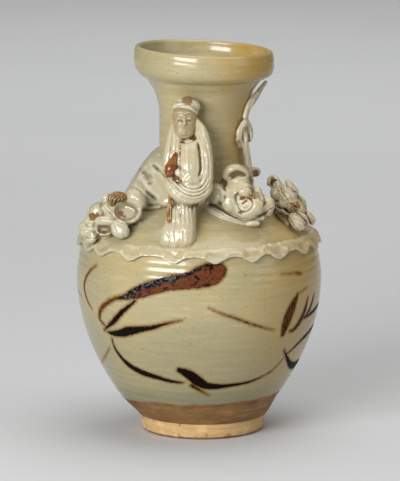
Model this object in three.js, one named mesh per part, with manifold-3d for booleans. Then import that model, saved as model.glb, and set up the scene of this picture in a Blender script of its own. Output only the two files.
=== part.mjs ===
// A stoneware funerary urn: a wheel-thrown vessel luted together from five sections, with a
// thumb-pressed frill on its shoulder and hand-rolled ornament laid on the shoulder and the neck.
// Millimetres, +Z up, origin at the middle of the foot, front at -Y.
import * as THREE from 'three';
import { mergeVertices } from 'three/addons/utils/BufferGeometryUtils.js';
import Module from 'manifold-3d';

const wasm = await Module();
wasm.setup();

// Driving dimensions of the thrown vessel. A rise is the height of one section over the one below
const footRadius = 42.4;
const footHeight = 11;
const footRingWidth = 8.8;
const footBevel = 1.4;
const footPadDepth = 4.5;
const footFlare = 1.2;
const bellyRise = 95;
const bellySwell = 3.5;
const shoulderEdgeRise = 25.5;
const shoulderEdgeRadius = 79.6;
const domeRise = 26.5;
const neckRootRadius = 42;
const neckRootRise = 32;
const neckBoreRadius = 25.5;
const neckWall = 4.8;
const neckRootFillet = 6;
const neckStraightLength = 27;
const neckFlareRise = 16;
const neckFlare = 3.5;
const mouthFlareRise = 8;
const mouthFlare = 5.4;
const dishRise = 20.3;
const dishFlare = 8;
const lipThickness = 3.6;
const floorThickness = 8;
const wallThickness = 5.6;

const bodyRootRadius = footRadius + footFlare;
const bellyHeight = footHeight + bellyRise;
const bellyRadius = shoulderEdgeRadius + bellySwell;
const shoulderEdgeHeight = bellyHeight + shoulderEdgeRise;
const neckRootHeight = shoulderEdgeHeight + domeRise;
const neckRadius = neckBoreRadius + neckWall;
const neckStraightLow = neckRootHeight + neckRootRise;
const neckStraightHigh = neckStraightLow + neckStraightLength;
const mouthJointRadius = neckRadius + neckFlare;
const mouthJointHeight = neckStraightHigh + neckFlareRise;
const mouthStepRadius = mouthJointRadius + mouthFlare;
const mouthStepHeight = mouthJointHeight + mouthFlareRise;
const mouthRadius = mouthStepRadius + dishFlare;
const rimHeight = mouthStepHeight + dishRise;

// The seam under the frill slopes up to the inside, so the shoulder cannot slide off
const seamBevel = 2;
const crownRise = 6;

// The sections sit a little off one another's axis, and the rim dips to the right
const footOffset = 2.5;
const neckOffset = 3.4;
const rimSlope = 0.049;

// Seams, coils and laid-on pieces keep this clear of what they meet
const slipGap = 0.3;
const turns = 32;

// The frill: a strip of clay pressed down by the thumb along the shoulder's edge
const frillWidth = 7.6;
const frillReach = 3.6;
const pressDepth = 3.4;
const frontPresses = [-65.8, -52.9, -33.4, -11.4, 8.2, 26.2, 41.3, 59.5, 73.4];
const backPressCount = 11;
const stepsPerPress = 4;

// The ornament lies in a band that ends at the shoulder's edge
const ornamentBand = 37.6;

// The standing figure
const figureAngle = -7.2;
const figureShare = 0.7;
const figureSink = 3.5;
const figureHeadHeight = 82;
const figureHeadStandoff = 14;

const glaze = { color: 0xb9ad83, roughness: 0.22, metalness: 0 };
const ornamentGlaze = { color: 0xc9bd93, roughness: 0.2, metalness: 0 };
const biscuit = { color: 0xc39a63, roughness: 0.8, metalness: 0 };
const bareClay = { color: 0x8d7047, roughness: 0.85, metalness: 0 };
const ironRed = { color: 0x8a3f1d, roughness: 0.25, metalness: 0 };
const ironBrown = { color: 0x7a5426, roughness: 0.3, metalness: 0 };

const { degToRad, lerp, smoothstep } = THREE.MathUtils;
const urn = new THREE.Group();

function bezier(from, towards, arriving, to) {
  return new THREE.CubicBezierCurve(
    new THREE.Vector2(...from),
    new THREE.Vector2(...towards),
    new THREE.Vector2(...arriving),
    new THREE.Vector2(...to),
  );
}

// The outer curve of each thrown section, from its lower end to its upper one
const bodyCurve = bezier(
  [bodyRootRadius, footHeight],
  [bodyRootRadius + 16, footHeight + 19],
  [bellyRadius, bellyHeight - 42],
  [bellyRadius, bellyHeight],
);
const upperBodyCurve = bezier(
  [bellyRadius, bellyHeight],
  [bellyRadius, bellyHeight + 8],
  [shoulderEdgeRadius + 1.3, shoulderEdgeHeight - 8],
  [shoulderEdgeRadius, shoulderEdgeHeight],
);
const shoulderCurve = bezier(
  [shoulderEdgeRadius, shoulderEdgeHeight],
  [shoulderEdgeRadius, shoulderEdgeHeight + 7],
  [neckRootRadius + 18, neckRootHeight - 9],
  [neckRootRadius, neckRootHeight],
);
const neckRootCurve = bezier(
  [neckRootRadius, neckRootHeight],
  [neckRootRadius - 7, neckRootHeight + 3],
  [neckRadius, neckStraightLow - 18],
  [neckRadius, neckStraightLow],
);
const neckTopCurve = bezier(
  [neckRadius, neckStraightHigh],
  [neckRadius, neckStraightHigh + 6],
  [mouthJointRadius - 1.6, mouthJointHeight - 5],
  [mouthJointRadius, mouthJointHeight],
);
const mouthFlareCurve = bezier(
  [mouthJointRadius, mouthJointHeight],
  [mouthJointRadius + 1.6, mouthJointHeight + 3],
  [mouthStepRadius - 2, mouthStepHeight - 3],
  [mouthStepRadius, mouthStepHeight],
);
const mouthDishCurve = bezier(
  [mouthStepRadius, mouthStepHeight],
  [mouthStepRadius + 7.5, mouthStepHeight + 3],
  [mouthRadius + 0.4, mouthStepHeight + 6],
  [mouthRadius, rimHeight - 6],
);

// Points on a curve pushed out from its clay by a distance, or into it where that is negative
function offsetPoints(curve, divisions, distance) {
  const points = [];
  for (let i = 0; i <= divisions; i += 1) {
    const along = curve.getTangent(i / divisions);
    const point = curve.getPoint(i / divisions);
    points.push(new THREE.Vector2(point.x + along.y * distance, point.y - along.x * distance));
  }
  return points;
}

// Where the luted sections come to rest: the foot and the neck stand off the body's axis
function settle(x, y, z) {
  const footShift = footOffset * (1 - smoothstep(z, footHeight, footHeight + 14));
  const neckShift = neckOffset * smoothstep(z, neckRootHeight - 12, neckRootHeight + 4);
  const dip = rimSlope * x * smoothstep(z, mouthJointHeight + 3, mouthStepHeight + 9);
  return [x + footShift + neckShift, y, z - dip];
}

function warp(geometry, move) {
  const place = geometry.attributes.position;
  for (let i = 0; i < place.count; i += 1) {
    place.setXYZ(i, ...move(place.getX(i), place.getY(i), place.getZ(i), i));
  }
  return geometry;
}

// A closed geometry as a solid, with its faces turned outwards
function toSolid(geometry) {
  geometry.deleteAttribute('normal');
  geometry.deleteAttribute('uv');
  const merged = mergeVertices(geometry, 1e-3);
  const vertProperties = new Float32Array(merged.attributes.position.array);
  const triVerts = new Uint32Array(merged.index.array);
  const corner = [new THREE.Vector3(), new THREE.Vector3(), new THREE.Vector3()];
  let volume = 0;
  for (let i = 0; i < triVerts.length; i += 3) {
    corner.forEach((point, k) => point.fromArray(vertProperties, 3 * triVerts[i + k]));
    volume += corner[0].dot(corner[1].clone().cross(corner[2]));
  }
  if (volume < 0) triVerts.reverse();
  return new wasm.Manifold(new wasm.Mesh({ numProp: 3, vertProperties, triVerts }));
}

// The largest body of a solid: trimming can leave crumbs, which a potter wipes away
function largestBody(solid) {
  const bodies = solid.decompose();
  return bodies.reduce((best, body) => (body.volume() > best.volume() ? body : best));
}

function addPiece(name, solid, finish) {
  const mesh = solid.getMesh();
  const geometry = new THREE.BufferGeometry();
  geometry.setAttribute('position', new THREE.BufferAttribute(mesh.vertProperties, 3));
  geometry.setIndex(new THREE.BufferAttribute(mesh.triVerts, 1));
  geometry.computeVertexNormals();
  const piece = new THREE.Mesh(geometry, new THREE.MeshStandardMaterial(finish));
  piece.name = name;
  urn.add(piece);
}

// A wheel-thrown section from its closed profile of radius and height
function thrown(profile, segments = turns) {
  const lathe = new THREE.LatheGeometry(profile, segments);
  lathe.rotateX(Math.PI / 2);
  return toSolid(warp(lathe, settle));
}

const at = (radius, height) => new THREE.Vector2(radius, height);
const closed = (points) => [...points, points[0].clone()];

function footRing() {
  const inner = footRadius - footRingWidth;
  return thrown(closed([
    at(inner + footBevel, 0),
    at(footRadius - 2 * footBevel, 0),
    at(footRadius - footBevel, footBevel),
    at(footRadius, footHeight / 2),
    at(footRadius, footHeight - slipGap),
    at(inner, footHeight - slipGap),
    at(inner, footBevel),
  ]));
}

// The body bowl: its turned pad registers inside the foot ring, and its rim is bevelled inwards
function body() {
  const padRadius = footRadius - footRingWidth - slipGap;
  const padHeight = footHeight - footPadDepth;
  const floorHeight = padHeight + floorThickness;
  const inner = offsetPoints(bodyCurve, 5, -wallThickness).filter((point) => point.y > floorHeight + 5);
  const upper = offsetPoints(upperBodyCurve, 2, -wallThickness);
  return thrown([
    at(0, padHeight),
    at(padRadius, padHeight),
    at(padRadius, footHeight),
    ...offsetPoints(bodyCurve, 7, 0),
    ...offsetPoints(upperBodyCurve, 4, 0).slice(1),
    at(upper.at(-1).x, shoulderEdgeHeight + seamBevel),
    ...upper.slice(0, -1).reverse(),
    ...inner.slice(0, -1).reverse(),
    at(inner[0].x - 9, floorHeight + 1.5),
    at(0, floorHeight),
  ]);
}

const shoulderHoleRadius = neckBoreRadius + 0.5;

function shoulder() {
  const inner = offsetPoints(shoulderCurve, 4, -wallThickness);
  return thrown(closed([
    ...offsetPoints(shoulderCurve, 7, 0).map((point, i) => (i ? point : at(point.x, point.y + slipGap))),
    at(shoulderHoleRadius, neckRootHeight + crownRise),
    at(shoulderHoleRadius, neckRootHeight + crownRise - wallThickness),
    ...inner.slice(1).reverse(),
    at(inner[0].x, shoulderEdgeHeight + seamBevel + slipGap),
  ]));
}

function neck() {
  const crownTop = neckRootHeight + crownRise + slipGap;
  return thrown(closed([
    ...offsetPoints(neckRootCurve, 5, 0).map((point, i) => (i ? point : at(point.x, point.y + slipGap))),
    ...offsetPoints(neckTopCurve, 3, 0),
    at(neckBoreRadius, mouthJointHeight + seamBevel),
    at(neckBoreRadius, crownTop),
    at(shoulderHoleRadius, crownTop),
  ]));
}

function mouth() {
  const lip = lipThickness / 2;
  const lipCentre = mouthRadius - lip - 0.8;
  return thrown(closed([
    ...offsetPoints(mouthFlareCurve, 3, 0).map((point, i) => (i ? point : at(point.x, point.y + slipGap))),
    ...offsetPoints(mouthDishCurve, 5, 0).slice(1),
    at(lipCentre + lip, rimHeight - lip),
    at(lipCentre + 0.7 * lip, rimHeight - 0.3 * lip),
    at(lipCentre, rimHeight),
    at(lipCentre - lip, rimHeight - lip),
    at(lipCentre - lip, mouthStepHeight + 9),
    at(neckBoreRadius + 6, mouthStepHeight + 1),
    at(neckBoreRadius, mouthStepHeight - 3),
    at(neckBoreRadius, mouthJointHeight + seamBevel + slipGap),
  ]));
}

// A coil of soft clay pressed into the inside corner of a seam
function lutingCoil(radius, height, size) {
  const clear = radius - wallThickness - slipGap;
  return thrown(closed([
    at(clear, height - size),
    at(clear, height + size),
    at(clear - size, height + 0.6 * size),
    at(clear - size, height - 0.6 * size),
  ]));
}

// Where a laid-on piece sits: degrees from the front towards the right, the share of the way
// over the ornament's band to the shoulder's edge, and how far it stands above the shoulder
function pointOn(curve, reached) {
  let low = 0;
  let high = 1;
  for (let i = 0; i < 24; i += 1) {
    const middle = (low + high) / 2;
    if (reached(curve.getPoint(middle))) high = middle;
    else low = middle;
  }
  return curve.getPoint(high);
}

const shoulderHeight = (radius) => pointOn(shoulderCurve, (point) => point.x < radius).y;
const wallRadius = (height) => pointOn(upperBodyCurve, (point) => point.y > height).x;

function polar(angle, radius, height) {
  const turn = degToRad(angle);
  return new THREE.Vector3(radius * Math.sin(turn), -radius * Math.cos(turn), height);
}

function seatRadius(share) {
  return shoulderEdgeRadius - (1 - share) * ornamentBand;
}

function seat(angle, share, lift) {
  const radius = seatRadius(share);
  const height = shoulderHeight(Math.min(radius, shoulderEdgeRadius - 0.5));
  return polar(angle, radius, height + lift);
}

// A place on the neck: degrees about its own axis, rise over its root, and how far it stands off
function neckRadiusAt(height) {
  if (height < neckStraightLow) {
    return lerp(neckRootRadius - neckRootFillet, neckRadius, smoothstep(height, neckRootHeight, neckStraightLow));
  }
  if (height < neckStraightHigh) return neckRadius;
  return lerp(neckRadius, mouthStepRadius, ((height - neckStraightHigh) / (mouthStepHeight - neckStraightHigh)) ** 2);
}

function onNeck(angle, rise, lift) {
  const height = neckRootHeight + rise;
  const place = polar(angle, neckRadiusAt(height) + lift, height);
  place.x += neckOffset;
  return place;
}

const up = new THREE.Vector3(0, 0, 1);

// The way out of the vessel at a place: level on the neck, leaning up on the shoulder
function outward(place, rise) {
  return new THREE.Vector3(place.x, place.y, 0).normalize().addScaledVector(up, rise).normalize();
}

function sample(values, share) {
  const step = share * (values.length - 1);
  const index = Math.min(Math.floor(step), values.length - 2);
  return lerp(values[index], values[index + 1], step - index);
}

// A hand-rolled piece: a sphere drawn out along a curve, with its half widths and half
// thicknesses given from end to end. Its thickness faces the way "facing" gives at each place,
// and "full" below 1 squares its section.
function roll(points, wide, thick, { facing = (place) => outward(place, 1), sides = 7, rings = 6, full = 1 } = {}) {
  const curve = new THREE.CatmullRomCurve3(points);
  const length = curve.getLength();
  return (grow) => {
    const tip = Math.min(wide[0], thick[0]) + grow;
    const tail = Math.min(wide.at(-1), thick.at(-1)) + grow;
    const sphere = new THREE.SphereGeometry(1, sides, rings);
    return warp(sphere, (x, y, z, i) => {
      const row = Math.floor(i / (sides + 1)) / rings;
      const share = lerp(row, (1 - Math.cos(Math.PI * row)) / 2, 0.6);
      const centre = curve.getPointAt(share);
      const along = curve.getTangentAt(share);
      centre.addScaledVector(along, grow * (2 * share - 1));
      const nearTip = Math.min(1, (share * (length + 2 * grow)) / tip);
      const nearTail = Math.min(1, ((1 - share) * (length + 2 * grow)) / tail);
      const round = Math.sqrt((1 - (1 - nearTip) ** 2) * (1 - (1 - nearTail) ** 2));
      const out = facing(centre);
      out.addScaledVector(along, -out.dot(along)).normalize();
      const side = along.clone().cross(out);
      const turn = (2 * Math.PI * (i % (sides + 1))) / sides;
      const across = Math.sign(Math.cos(turn)) * Math.abs(Math.cos(turn)) ** full;
      const outwards = Math.sign(Math.sin(turn)) * Math.abs(Math.sin(turn)) ** full;
      centre.addScaledVector(side, across * round * (sample(wide, share) + grow));
      centre.addScaledVector(out, outwards * round * (sample(thick, share) + grow));
      return centre.toArray();
    });
  };
}

// A pressed lump: half sizes across, out of the vessel and up along it
function lump(place, [across, out, along], { rise = 1, sides = 8, rings = 6 } = {}) {
  const normal = outward(place, rise);
  const side = up.clone().cross(normal).normalize();
  const frame = new THREE.Matrix4().makeBasis(side, normal.clone().cross(side), normal).setPosition(place);
  return (grow) => {
    const sphere = new THREE.SphereGeometry(1, sides, rings);
    sphere.scale(across + grow, along + grow, out + grow);
    return sphere.applyMatrix4(frame);
  };
}

// A pinched cup, open towards "facing"; for its neighbours it counts as a filled one
function cup(place, facing, radius, depth, lip, squash = 1) {
  const axis = facing.clone().normalize();
  const side = up.clone().cross(axis).normalize();
  const frame = new THREE.Matrix4().makeBasis(side, axis, side.clone().cross(axis)).setPosition(place);
  return (grow) => {
    const outer = radius + grow;
    const hollow = grow ? [at(0, 2)] : [at(radius - lip, -0.5), at(0.62 * radius, -0.55 * depth), at(0, lip - depth)];
    const profile = [
      at(0, -depth - grow),
      at(0.7 * outer, -0.75 * depth - grow),
      at(outer, -0.25 * depth),
      at(radius - 0.5 * lip + grow, 0.3),
      ...hollow,
    ];
    const lathe = new THREE.LatheGeometry(profile, 12);
    lathe.scale(1, 1, squash);
    return lathe.applyMatrix4(frame);
  };
}

// The outside of the whole vessel, a slip gap larger: laid-on pieces are trimmed to it
function vesselOutside() {
  const neckSide = [...offsetPoints(neckRootCurve, 5, slipGap), ...offsetPoints(neckTopCurve, 3, slipGap)];
  return thrown([
    at(0, bellyHeight),
    ...offsetPoints(upperBodyCurve, 4, slipGap),
    ...offsetPoints(shoulderCurve, 8, slipGap).slice(1),
    ...neckSide.slice(1),
    ...offsetPoints(mouthFlareCurve, 3, slipGap).slice(1),
    ...offsetPoints(mouthDishCurve, 5, slipGap).slice(1),
    at(0, rimHeight),
  ]);
}

// The frill's press at an angle: 1 at the bottom of a thumb mark, 0 on the crest between two
const backStart = frontPresses.at(-1);
const backStep = (360 + frontPresses[0] - backStart) / (backPressCount + 1);
const presses = [...frontPresses];
for (let i = 1; i <= backPressCount; i += 1) presses.push(backStart + i * backStep);

function pressAt(angle) {
  const turned = ((angle - presses[0]) % 360 + 360) % 360 + presses[0];
  const index = presses.findLastIndex((mark) => mark <= turned);
  const next = index + 1 < presses.length ? presses[index + 1] : presses[0] + 360;
  const phase = (turned - presses[index]) / (next - presses[index]);
  return (0.5 + 0.5 * Math.cos(2 * Math.PI * phase)) ** 1.4;
}

// The strip's section at a press: it hugs the shoulder's edge inside and is scooped outside
function frillSection(press) {
  const foot = shoulderEdgeHeight - 1 - pressDepth * press;
  const top = shoulderEdgeHeight - 1 + frillWidth;
  const wallSide = wallRadius(foot) + slipGap + 0.3;
  const seated = offsetPoints(shoulderCurve, 12, slipGap + 0.25);
  return [
    at(wallSide, foot + 1.2),
    at(wallSide + 0.8, foot),
    at(wallSide + frillReach * (0.6 + 0.3 * press), foot + 0.6),
    at(shoulderEdgeRadius + frillReach * (0.85 - 0.55 * press), shoulderEdgeHeight + 2.5),
    at(shoulderEdgeRadius + frillReach * (1 - 0.35 * press), top - 0.4 - 1.6 * press),
    at(shoulderEdgeRadius - 1, top + 0.6 - 1.2 * press),
    at(seated[3].x, seated[3].y + 0.8),
    seated[3],
    seated[2],
    at(seated[0].x + 0.1, seated[0].y),
  ];
}

// The strip itself, or its keep-out where it is grown away from its section's middle
function frill(grow = 0) {
  const steps = presses.length * stepsPerPress;
  const corners = frillSection(0).length;
  const middle = at(shoulderEdgeRadius + 0.5, shoulderEdgeHeight + 3);
  const ring = new THREE.TorusGeometry(2, 1, corners, steps);
  const strip = warp(ring, (x, y, z, i) => {
    const step = i % (steps + 1);
    const corner = Math.floor(i / (steps + 1)) % corners;
    const angle = (360 * step) / steps;
    const point = frillSection(pressAt(angle))[corner];
    const away = point.clone().sub(middle).setLength(grow);
    return settle(...polar(angle, point.x + away.x, point.y + away.y));
  });
  return toSolid(strip);
}

// The figure stands in its own frame: across, out of its chest and up along its leaning back
const figureRoot = seat(figureAngle, figureShare, -figureSink);
const figureRadius = seatRadius(figureShare);
const figureLean = Math.atan2(figureRadius - neckRadius - figureHeadStandoff, figureHeadHeight);
const figureAcross = new THREE.Vector3(1, 0, 0);
const figureUp = up.clone().applyAxisAngle(figureAcross, -figureLean);
const figureOut = figureUp.clone().cross(figureAcross).negate();

function inFigure(across, out, height) {
  return figureRoot.clone()
    .addScaledVector(figureAcross, across)
    .addScaledVector(figureOut, out)
    .addScaledVector(figureUp, height);
}

function limb(places, wide, thick, options) {
  const points = places.map((place) => inFigure(...place));
  return roll(points, wide, thick, { facing: () => figureOut.clone(), ...options });
}

// A band of clay round an axis
function band(place, axis, radius, width, height) {
  const turn = new THREE.Quaternion().setFromUnitVectors(new THREE.Vector3(0, 1, 0), axis.clone().normalize());
  return (grow) => {
    const profile = closed([
      at(radius - width - grow, -height - grow),
      at(radius + grow, -height - grow),
      at(radius + 0.5 + grow, 0),
      at(radius + grow, height + grow),
      at(radius - width - grow, height + grow),
    ]);
    const lathe = new THREE.LatheGeometry(profile, 14);
    return lathe.applyQuaternion(turn).translate(place.x, place.y, place.z);
  };
}

const capAxis = inFigure(2.6, -2.4, 11).sub(figureRoot);

const figure = [
  ['figure_head', ornamentGlaze, [
    limb([[-1.4, 2.2, 70], [-1.3, 1.2, 75], [-1.2, 0.6, 82], [-1, 0, 91]], [4.4, 7, 7.9, 7.2], [4, 6.6, 7.8, 7.2]),
    limb([[-1.3, 8.2, 83.5], [-1.3, 9.6, 79]], [1, 1.6], [1.2, 1.6], { sides: 6, rings: 5 }),
  ]],
  ['figure_cap_brim', ornamentGlaze, [band(inFigure(-0.6, 0, 88.6), capAxis, 8.4, 3, 1.5)]],
  ['figure_cap', ornamentGlaze, [
    limb([[-0.8, 0, 87.4], [0.6, -0.6, 93], [1.8, -1, 99.8]], [8, 9, 6], [7.8, 8.8, 6], { sides: 10 }),
  ]],
  ['figure_skirt', ornamentGlaze, [
    limb([[-0.8, -0.5, -8], [-1, 0, 12], [-1, 0.5, 32]], [8.6, 8, 7.6], [8, 7, 6], { full: 0.8 }),
    limb([[-4.4, 5, 1], [-4.6, 5.4, 14], [-4, 5, 28]], [2.6, 2.2, 1.8], [3.4, 3, 2.6], { sides: 6 }),
    limb([[2.6, 5, 0], [2.8, 5.6, 14], [1.8, 5, 28]], [3.4, 2.8, 2.2], [3.4, 3, 2.6], { sides: 6 }),
  ]],
  ['figure_robe', ornamentGlaze, [
    limb(
      [[1, -1, 24], [2, -1.8, 42], [1.6, -2, 58], [0.4, -1.6, 70], [-0.4, -1, 78]],
      [10, 14.6, 14, 10.6, 6],
      [5.4, 7, 6.6, 5.4, 4.6],
      { sides: 10, full: 0.9 },
    ),
  ]],
  ['figure_chest_fold', ornamentGlaze, [
    limb([[-1.4, 4, 70], [0.4, 5.6, 60], [1.6, 6.4, 50], [2.2, 6.8, 40]], [4.6, 6.2, 6.8, 5.8], [2.6, 3.8, 4.4, 3.6]),
  ]],
  ['figure_right_sleeve', ornamentGlaze, [
    limb(
      [[7, 0.8, 79], [11.4, 2, 69], [13.2, 3, 55], [12.4, 4.6, 42], [7, 6.4, 35]],
      [4, 5.4, 5.6, 6, 4.6],
      [3.4, 4.8, 5.4, 5.4, 4],
      { full: 0.9 },
    ),
  ]],
  ['figure_hand', ornamentGlaze, [
    limb([[-3.4, 8.4, 42.6], [-7, 9.4, 46.8]], [2.2, 1.8], [1.7, 1.5], { sides: 6, rings: 5 }),
  ]],
  ['figure_gourd', ironRed, [
    limb([[-7.8, 5, 58], [-8.6, 5.6, 51.6], [-10.4, 6, 46.6], [-9.6, 6, 40.6]], [1.8, 2.6, 4.6, 3.4], [1.6, 2.4, 3.8, 3]),
  ]],
  ['figure_lapel', ornamentGlaze, [
    limb([[-7.8, 1, 80], [-8.8, 2, 69], [-11, 2.8, 57], [-12.4, 2.8, 46]], [2.2, 3, 3.2, 2.6], [2.2, 3, 3, 2.4]),
  ]],
  ['figure_sash', ornamentGlaze, [
    limb(
      [[-12.8, 2.4, 44], [-9.8, 5.6, 35.6], [-3, 7.4, 29.6], [4, 7.4, 29.6], [10.6, 5, 33.6], [14.6, 2, 42]],
      [3, 4.8, 5.8, 5.8, 5.4, 3.6],
      [2.6, 3.6, 4, 4, 3.8, 3],
      { rings: 9 },
    ),
  ]],
  ['figure_tassel', ironBrown, [
    limb([[-10.4, 5, 31], [-11, 5.4, 20], [-11, 5, 13.6]], [1.6, 1.5, 2.1], [1.4, 1.4, 2], { sides: 6 }),
  ]],
  ['figure_side_panel', ornamentGlaze, [
    limb([[-8.6, 1, 22], [-10.6, 2, 10], [-11, 2.4, -5]], [2.8, 5.4, 6.8], [2.6, 3.6, 4.4]),
  ]],
];

// The beast's head on the right of the figure, with its rolled eye, crest and whiskers
const faceOut = (place) => outward(place, 0.6);

const dragon = [
  ['dragon_eye', ornamentGlaze, [cup(seat(29, 0.53, 16.5), outward(seat(25, 0.5, 0), 0.5), 5.6, 5, 2)]],
  ['dragon_head', ornamentGlaze, [
    lump(seat(35, 0.22, 9), [14.5, 12, 13.5], { rise: 0.8 }),
    lump(seat(43, 0.42, 11), [9, 9, 8.5], { rise: 0.8 }),
  ]],
  ['dragon_crest', ornamentGlaze, [
    roll(
      [seat(23, 0.12, 12), seat(22, 0.03, 20), seat(28, 0.03, 26.4), seat(36, 0.08, 25), seat(40, 0.2, 19)],
      [3, 3.4, 3.8, 3.6, 3],
      [2.2, 2.4, 2.6, 2.4, 2.2],
      { facing: faceOut, rings: 9 },
    ),
  ]],
  ['dragon_brow', ornamentGlaze, [
    roll([seat(26, 0.4, 19), seat(32, 0.46, 22.4), seat(39, 0.46, 21)], [2.6, 3.4, 2.8], [2.6, 3.2, 2.6], { facing: faceOut }),
  ]],
  ['dragon_horn', ornamentGlaze, [
    roll([seat(42, 0.38, 17), seat(43, 0.44, 24)], [3.4, 2.8], [3.2, 2.6], { sides: 7, rings: 6 }),
  ]],
  ['dragon_snout', ornamentGlaze, [
    roll(
      [seat(26, 0.48, 6.4), seat(33, 0.6, 9.6), seat(41, 0.63, 14), seat(47, 0.56, 17), seat(48, 0.42, 17)],
      [3, 5, 6.2, 5.8, 4],
      [3, 4.6, 5.4, 5, 3.6],
      { facing: faceOut, rings: 9 },
    ),
  ]],
  ['dragon_lower_lip', ornamentGlaze, [
    roll([seat(31, 0.46, 3), seat(41, 0.52, 4.2), seat(49, 0.52, 8)], [2.4, 3.4, 2.6], [2.4, 3.2, 2.4], { facing: faceOut }),
  ]],
  ['dragon_cheek', ornamentGlaze, [
    roll([seat(27, 0.26, 18.6), seat(23, 0.34, 12), seat(20, 0.34, 4)], [4.4, 5.6, 4.6], [4, 5, 4]),
  ]],
  ['dragon_mane', ornamentGlaze, [
    roll([seat(17, 0.1, 16.4), seat(16, 0.16, 8)], [5.2, 5.4], [4.4, 5]),
  ]],
  ['dragon_pearl', ornamentGlaze, [lump(seat(34, 0.68, 3), [5, 3, 3])]],
  ['dragon_upper_whisker', ornamentGlaze, [
    roll(
      [seat(2, 0.02, 2.6), seat(13, 0.16, 2.6), seat(23, 0.38, 2.6), seat(30, 0.56, 3)],
      [1.1, 2.2, 2.6, 2.2],
      [1, 1.9, 2.3, 2],
    ),
  ]],
  ['dragon_lower_whisker', ornamentGlaze, [
    roll(
      [seat(5, 0.1, 1.2), seat(14, 0.27, 1.4), seat(23, 0.5, 1.6), seat(29, 0.68, 1.4)],
      [1.1, 2, 2.4, 2],
      [1, 1.7, 2, 1.6],
    ),
  ]],
];

// The beast's flank is a slab wound round the neck's root, and its tail climbs the neck
const flankKeys = [
  { angle: -14, out: 5.7, rise: 13, wide: 11, thick: 3 },
  { angle: -32, out: 5.7, rise: 14, wide: 17, thick: 4.4 },
  { angle: -55, out: 7.7, rise: 13, wide: 24, thick: 7 },
  { angle: -85, out: 9.7, rise: 11.5, wide: 30, thick: 9.4 },
  { angle: -120, out: 9.7, rise: 10, wide: 29, thick: 9.4 },
  { angle: -155, out: 8.7, rise: 9, wide: 25, thick: 9 },
  { angle: -190, out: 7.2, rise: 6.5, wide: 17, thick: 7 },
  { angle: -222, out: 6.2, rise: 5, wide: 9, thick: 4.6 },
];

function flank() {
  const points = flankKeys.map((key) => {
    const place = polar(key.angle, neckRadius + key.out, neckRootHeight + key.rise);
    place.x += neckOffset;
    return place;
  });
  const wide = flankKeys.map((key) => key.wide);
  const thick = flankKeys.map((key) => key.thick);
  return roll(points, wide, thick, { facing: (place) => outward(place, 0.65), sides: 9, rings: 17, full: 0.75 });
}

const neckOut = (place) => outward(place, 0);

const flankAndTail = [
  ['beast_flank', ornamentGlaze, [flank()]],
  ['tail_fold', ornamentGlaze, [
    roll([onNeck(50, 39, 1.2), onNeck(46.5, 45, 2), onNeck(49, 51, 2.8), onNeck(57, 55, 3.4), onNeck(65, 50, 4), onNeck(64, 42, 4)],
      [2, 3.2, 3.2, 2.8, 2.6, 1.8], [1.6, 2, 2.2, 2.2, 2, 1.6], { facing: neckOut, rings: 11 }),
  ]],
  ['tail_strand', ornamentGlaze, [
    roll([onNeck(54, 50, 2.6), onNeck(53, 42, 4.4), onNeck(55, 35, 4.8), onNeck(57, 28, 5.2), onNeck(59, 14, 6)],
      [2, 2.8, 2.8, 2.4, 1.2], [1.8, 2.2, 2.4, 2.2, 1.2], { facing: neckOut }),
  ]],
  ['tail_leaf', ornamentGlaze, [
    roll([onNeck(89, 81, 4.6), onNeck(86, 76, 4), onNeck(78, 71, 3), onNeck(66, 65, 2), onNeck(59, 57, 1.8)],
      [1.4, 2.4, 3.4, 3.4, 2], [1.4, 1.8, 2.2, 2.2, 1.8], { facing: neckOut }),
  ]],
  ['tail_knob', ornamentGlaze, [
    roll([onNeck(86, 19, -2), onNeck(88, 18.6, 7.2)], [3.4, 3.4], [3.4, 3.4], { facing: () => up.clone(), sides: 7, rings: 5 }),
  ]],
];

// The small beast on the left, its jaws a pinched cup
const leftBeast = [
  ['left_beast_jaws', ornamentGlaze, [cup(seat(-49, 0.6, 10), outward(seat(-34, 0.5, 0), 0.45), 9.2, 8, 2, 0.9)]],
  ['left_beast_lips', ornamentGlaze, [cup(seat(-56, 0.88, 7), outward(seat(-42, 0.5, 0), 0.2), 7.4, 6, 1.8, 0.8)]],
  ['left_beast_head', ornamentGlaze, [
    lump(seat(-64, 0.66, 7.4), [15, 9.5, 12.5]),
    roll([seat(-62, 0.86, 16), seat(-55, 0.84, 13)], [3.4, 3.2], [3, 2.8], { sides: 7, rings: 6 }),
  ]],
  ['left_beast_crest', ironBrown, [
    roll([seat(-66, 0.62, 16.4), seat(-61, 0.6, 17.8), seat(-54, 0.54, 14.6)], [6.4, 7.6, 6.4], [4.8, 5.6, 4.8]),
  ]],
  ['left_beast_crest_tip', ornamentGlaze, [
    roll([seat(-68, 0.74, 13), seat(-68, 0.68, 22)], [4.2, 3.2], [3.8, 3], { sides: 7, rings: 6 }),
  ]],
  ['left_beast_ear', ornamentGlaze, [lump(seat(-54, 0.3, 6.8), [6.6, 6.2, 6.6])]],
  ['left_beast_cheek', ornamentGlaze, [
    roll([seat(-69, 0.78, 12.4), seat(-75, 0.9, 9)], [6.6, 5.6], [4.8, 4.2]),
  ]],
  ['left_beast_nose', ornamentGlaze, [lump(seat(-75, 0.93, 4.4), [5.6, 5.2, 5.4])]],
  ['left_beast_paw', ornamentGlaze, [
    roll([seat(-51, 0.82, 9), seat(-46, 0.8, 5.4), seat(-43, 0.84, 1.6)], [4.2, 5.6, 4.8], [4, 4.6, 3.2]),
  ]],
];

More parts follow.
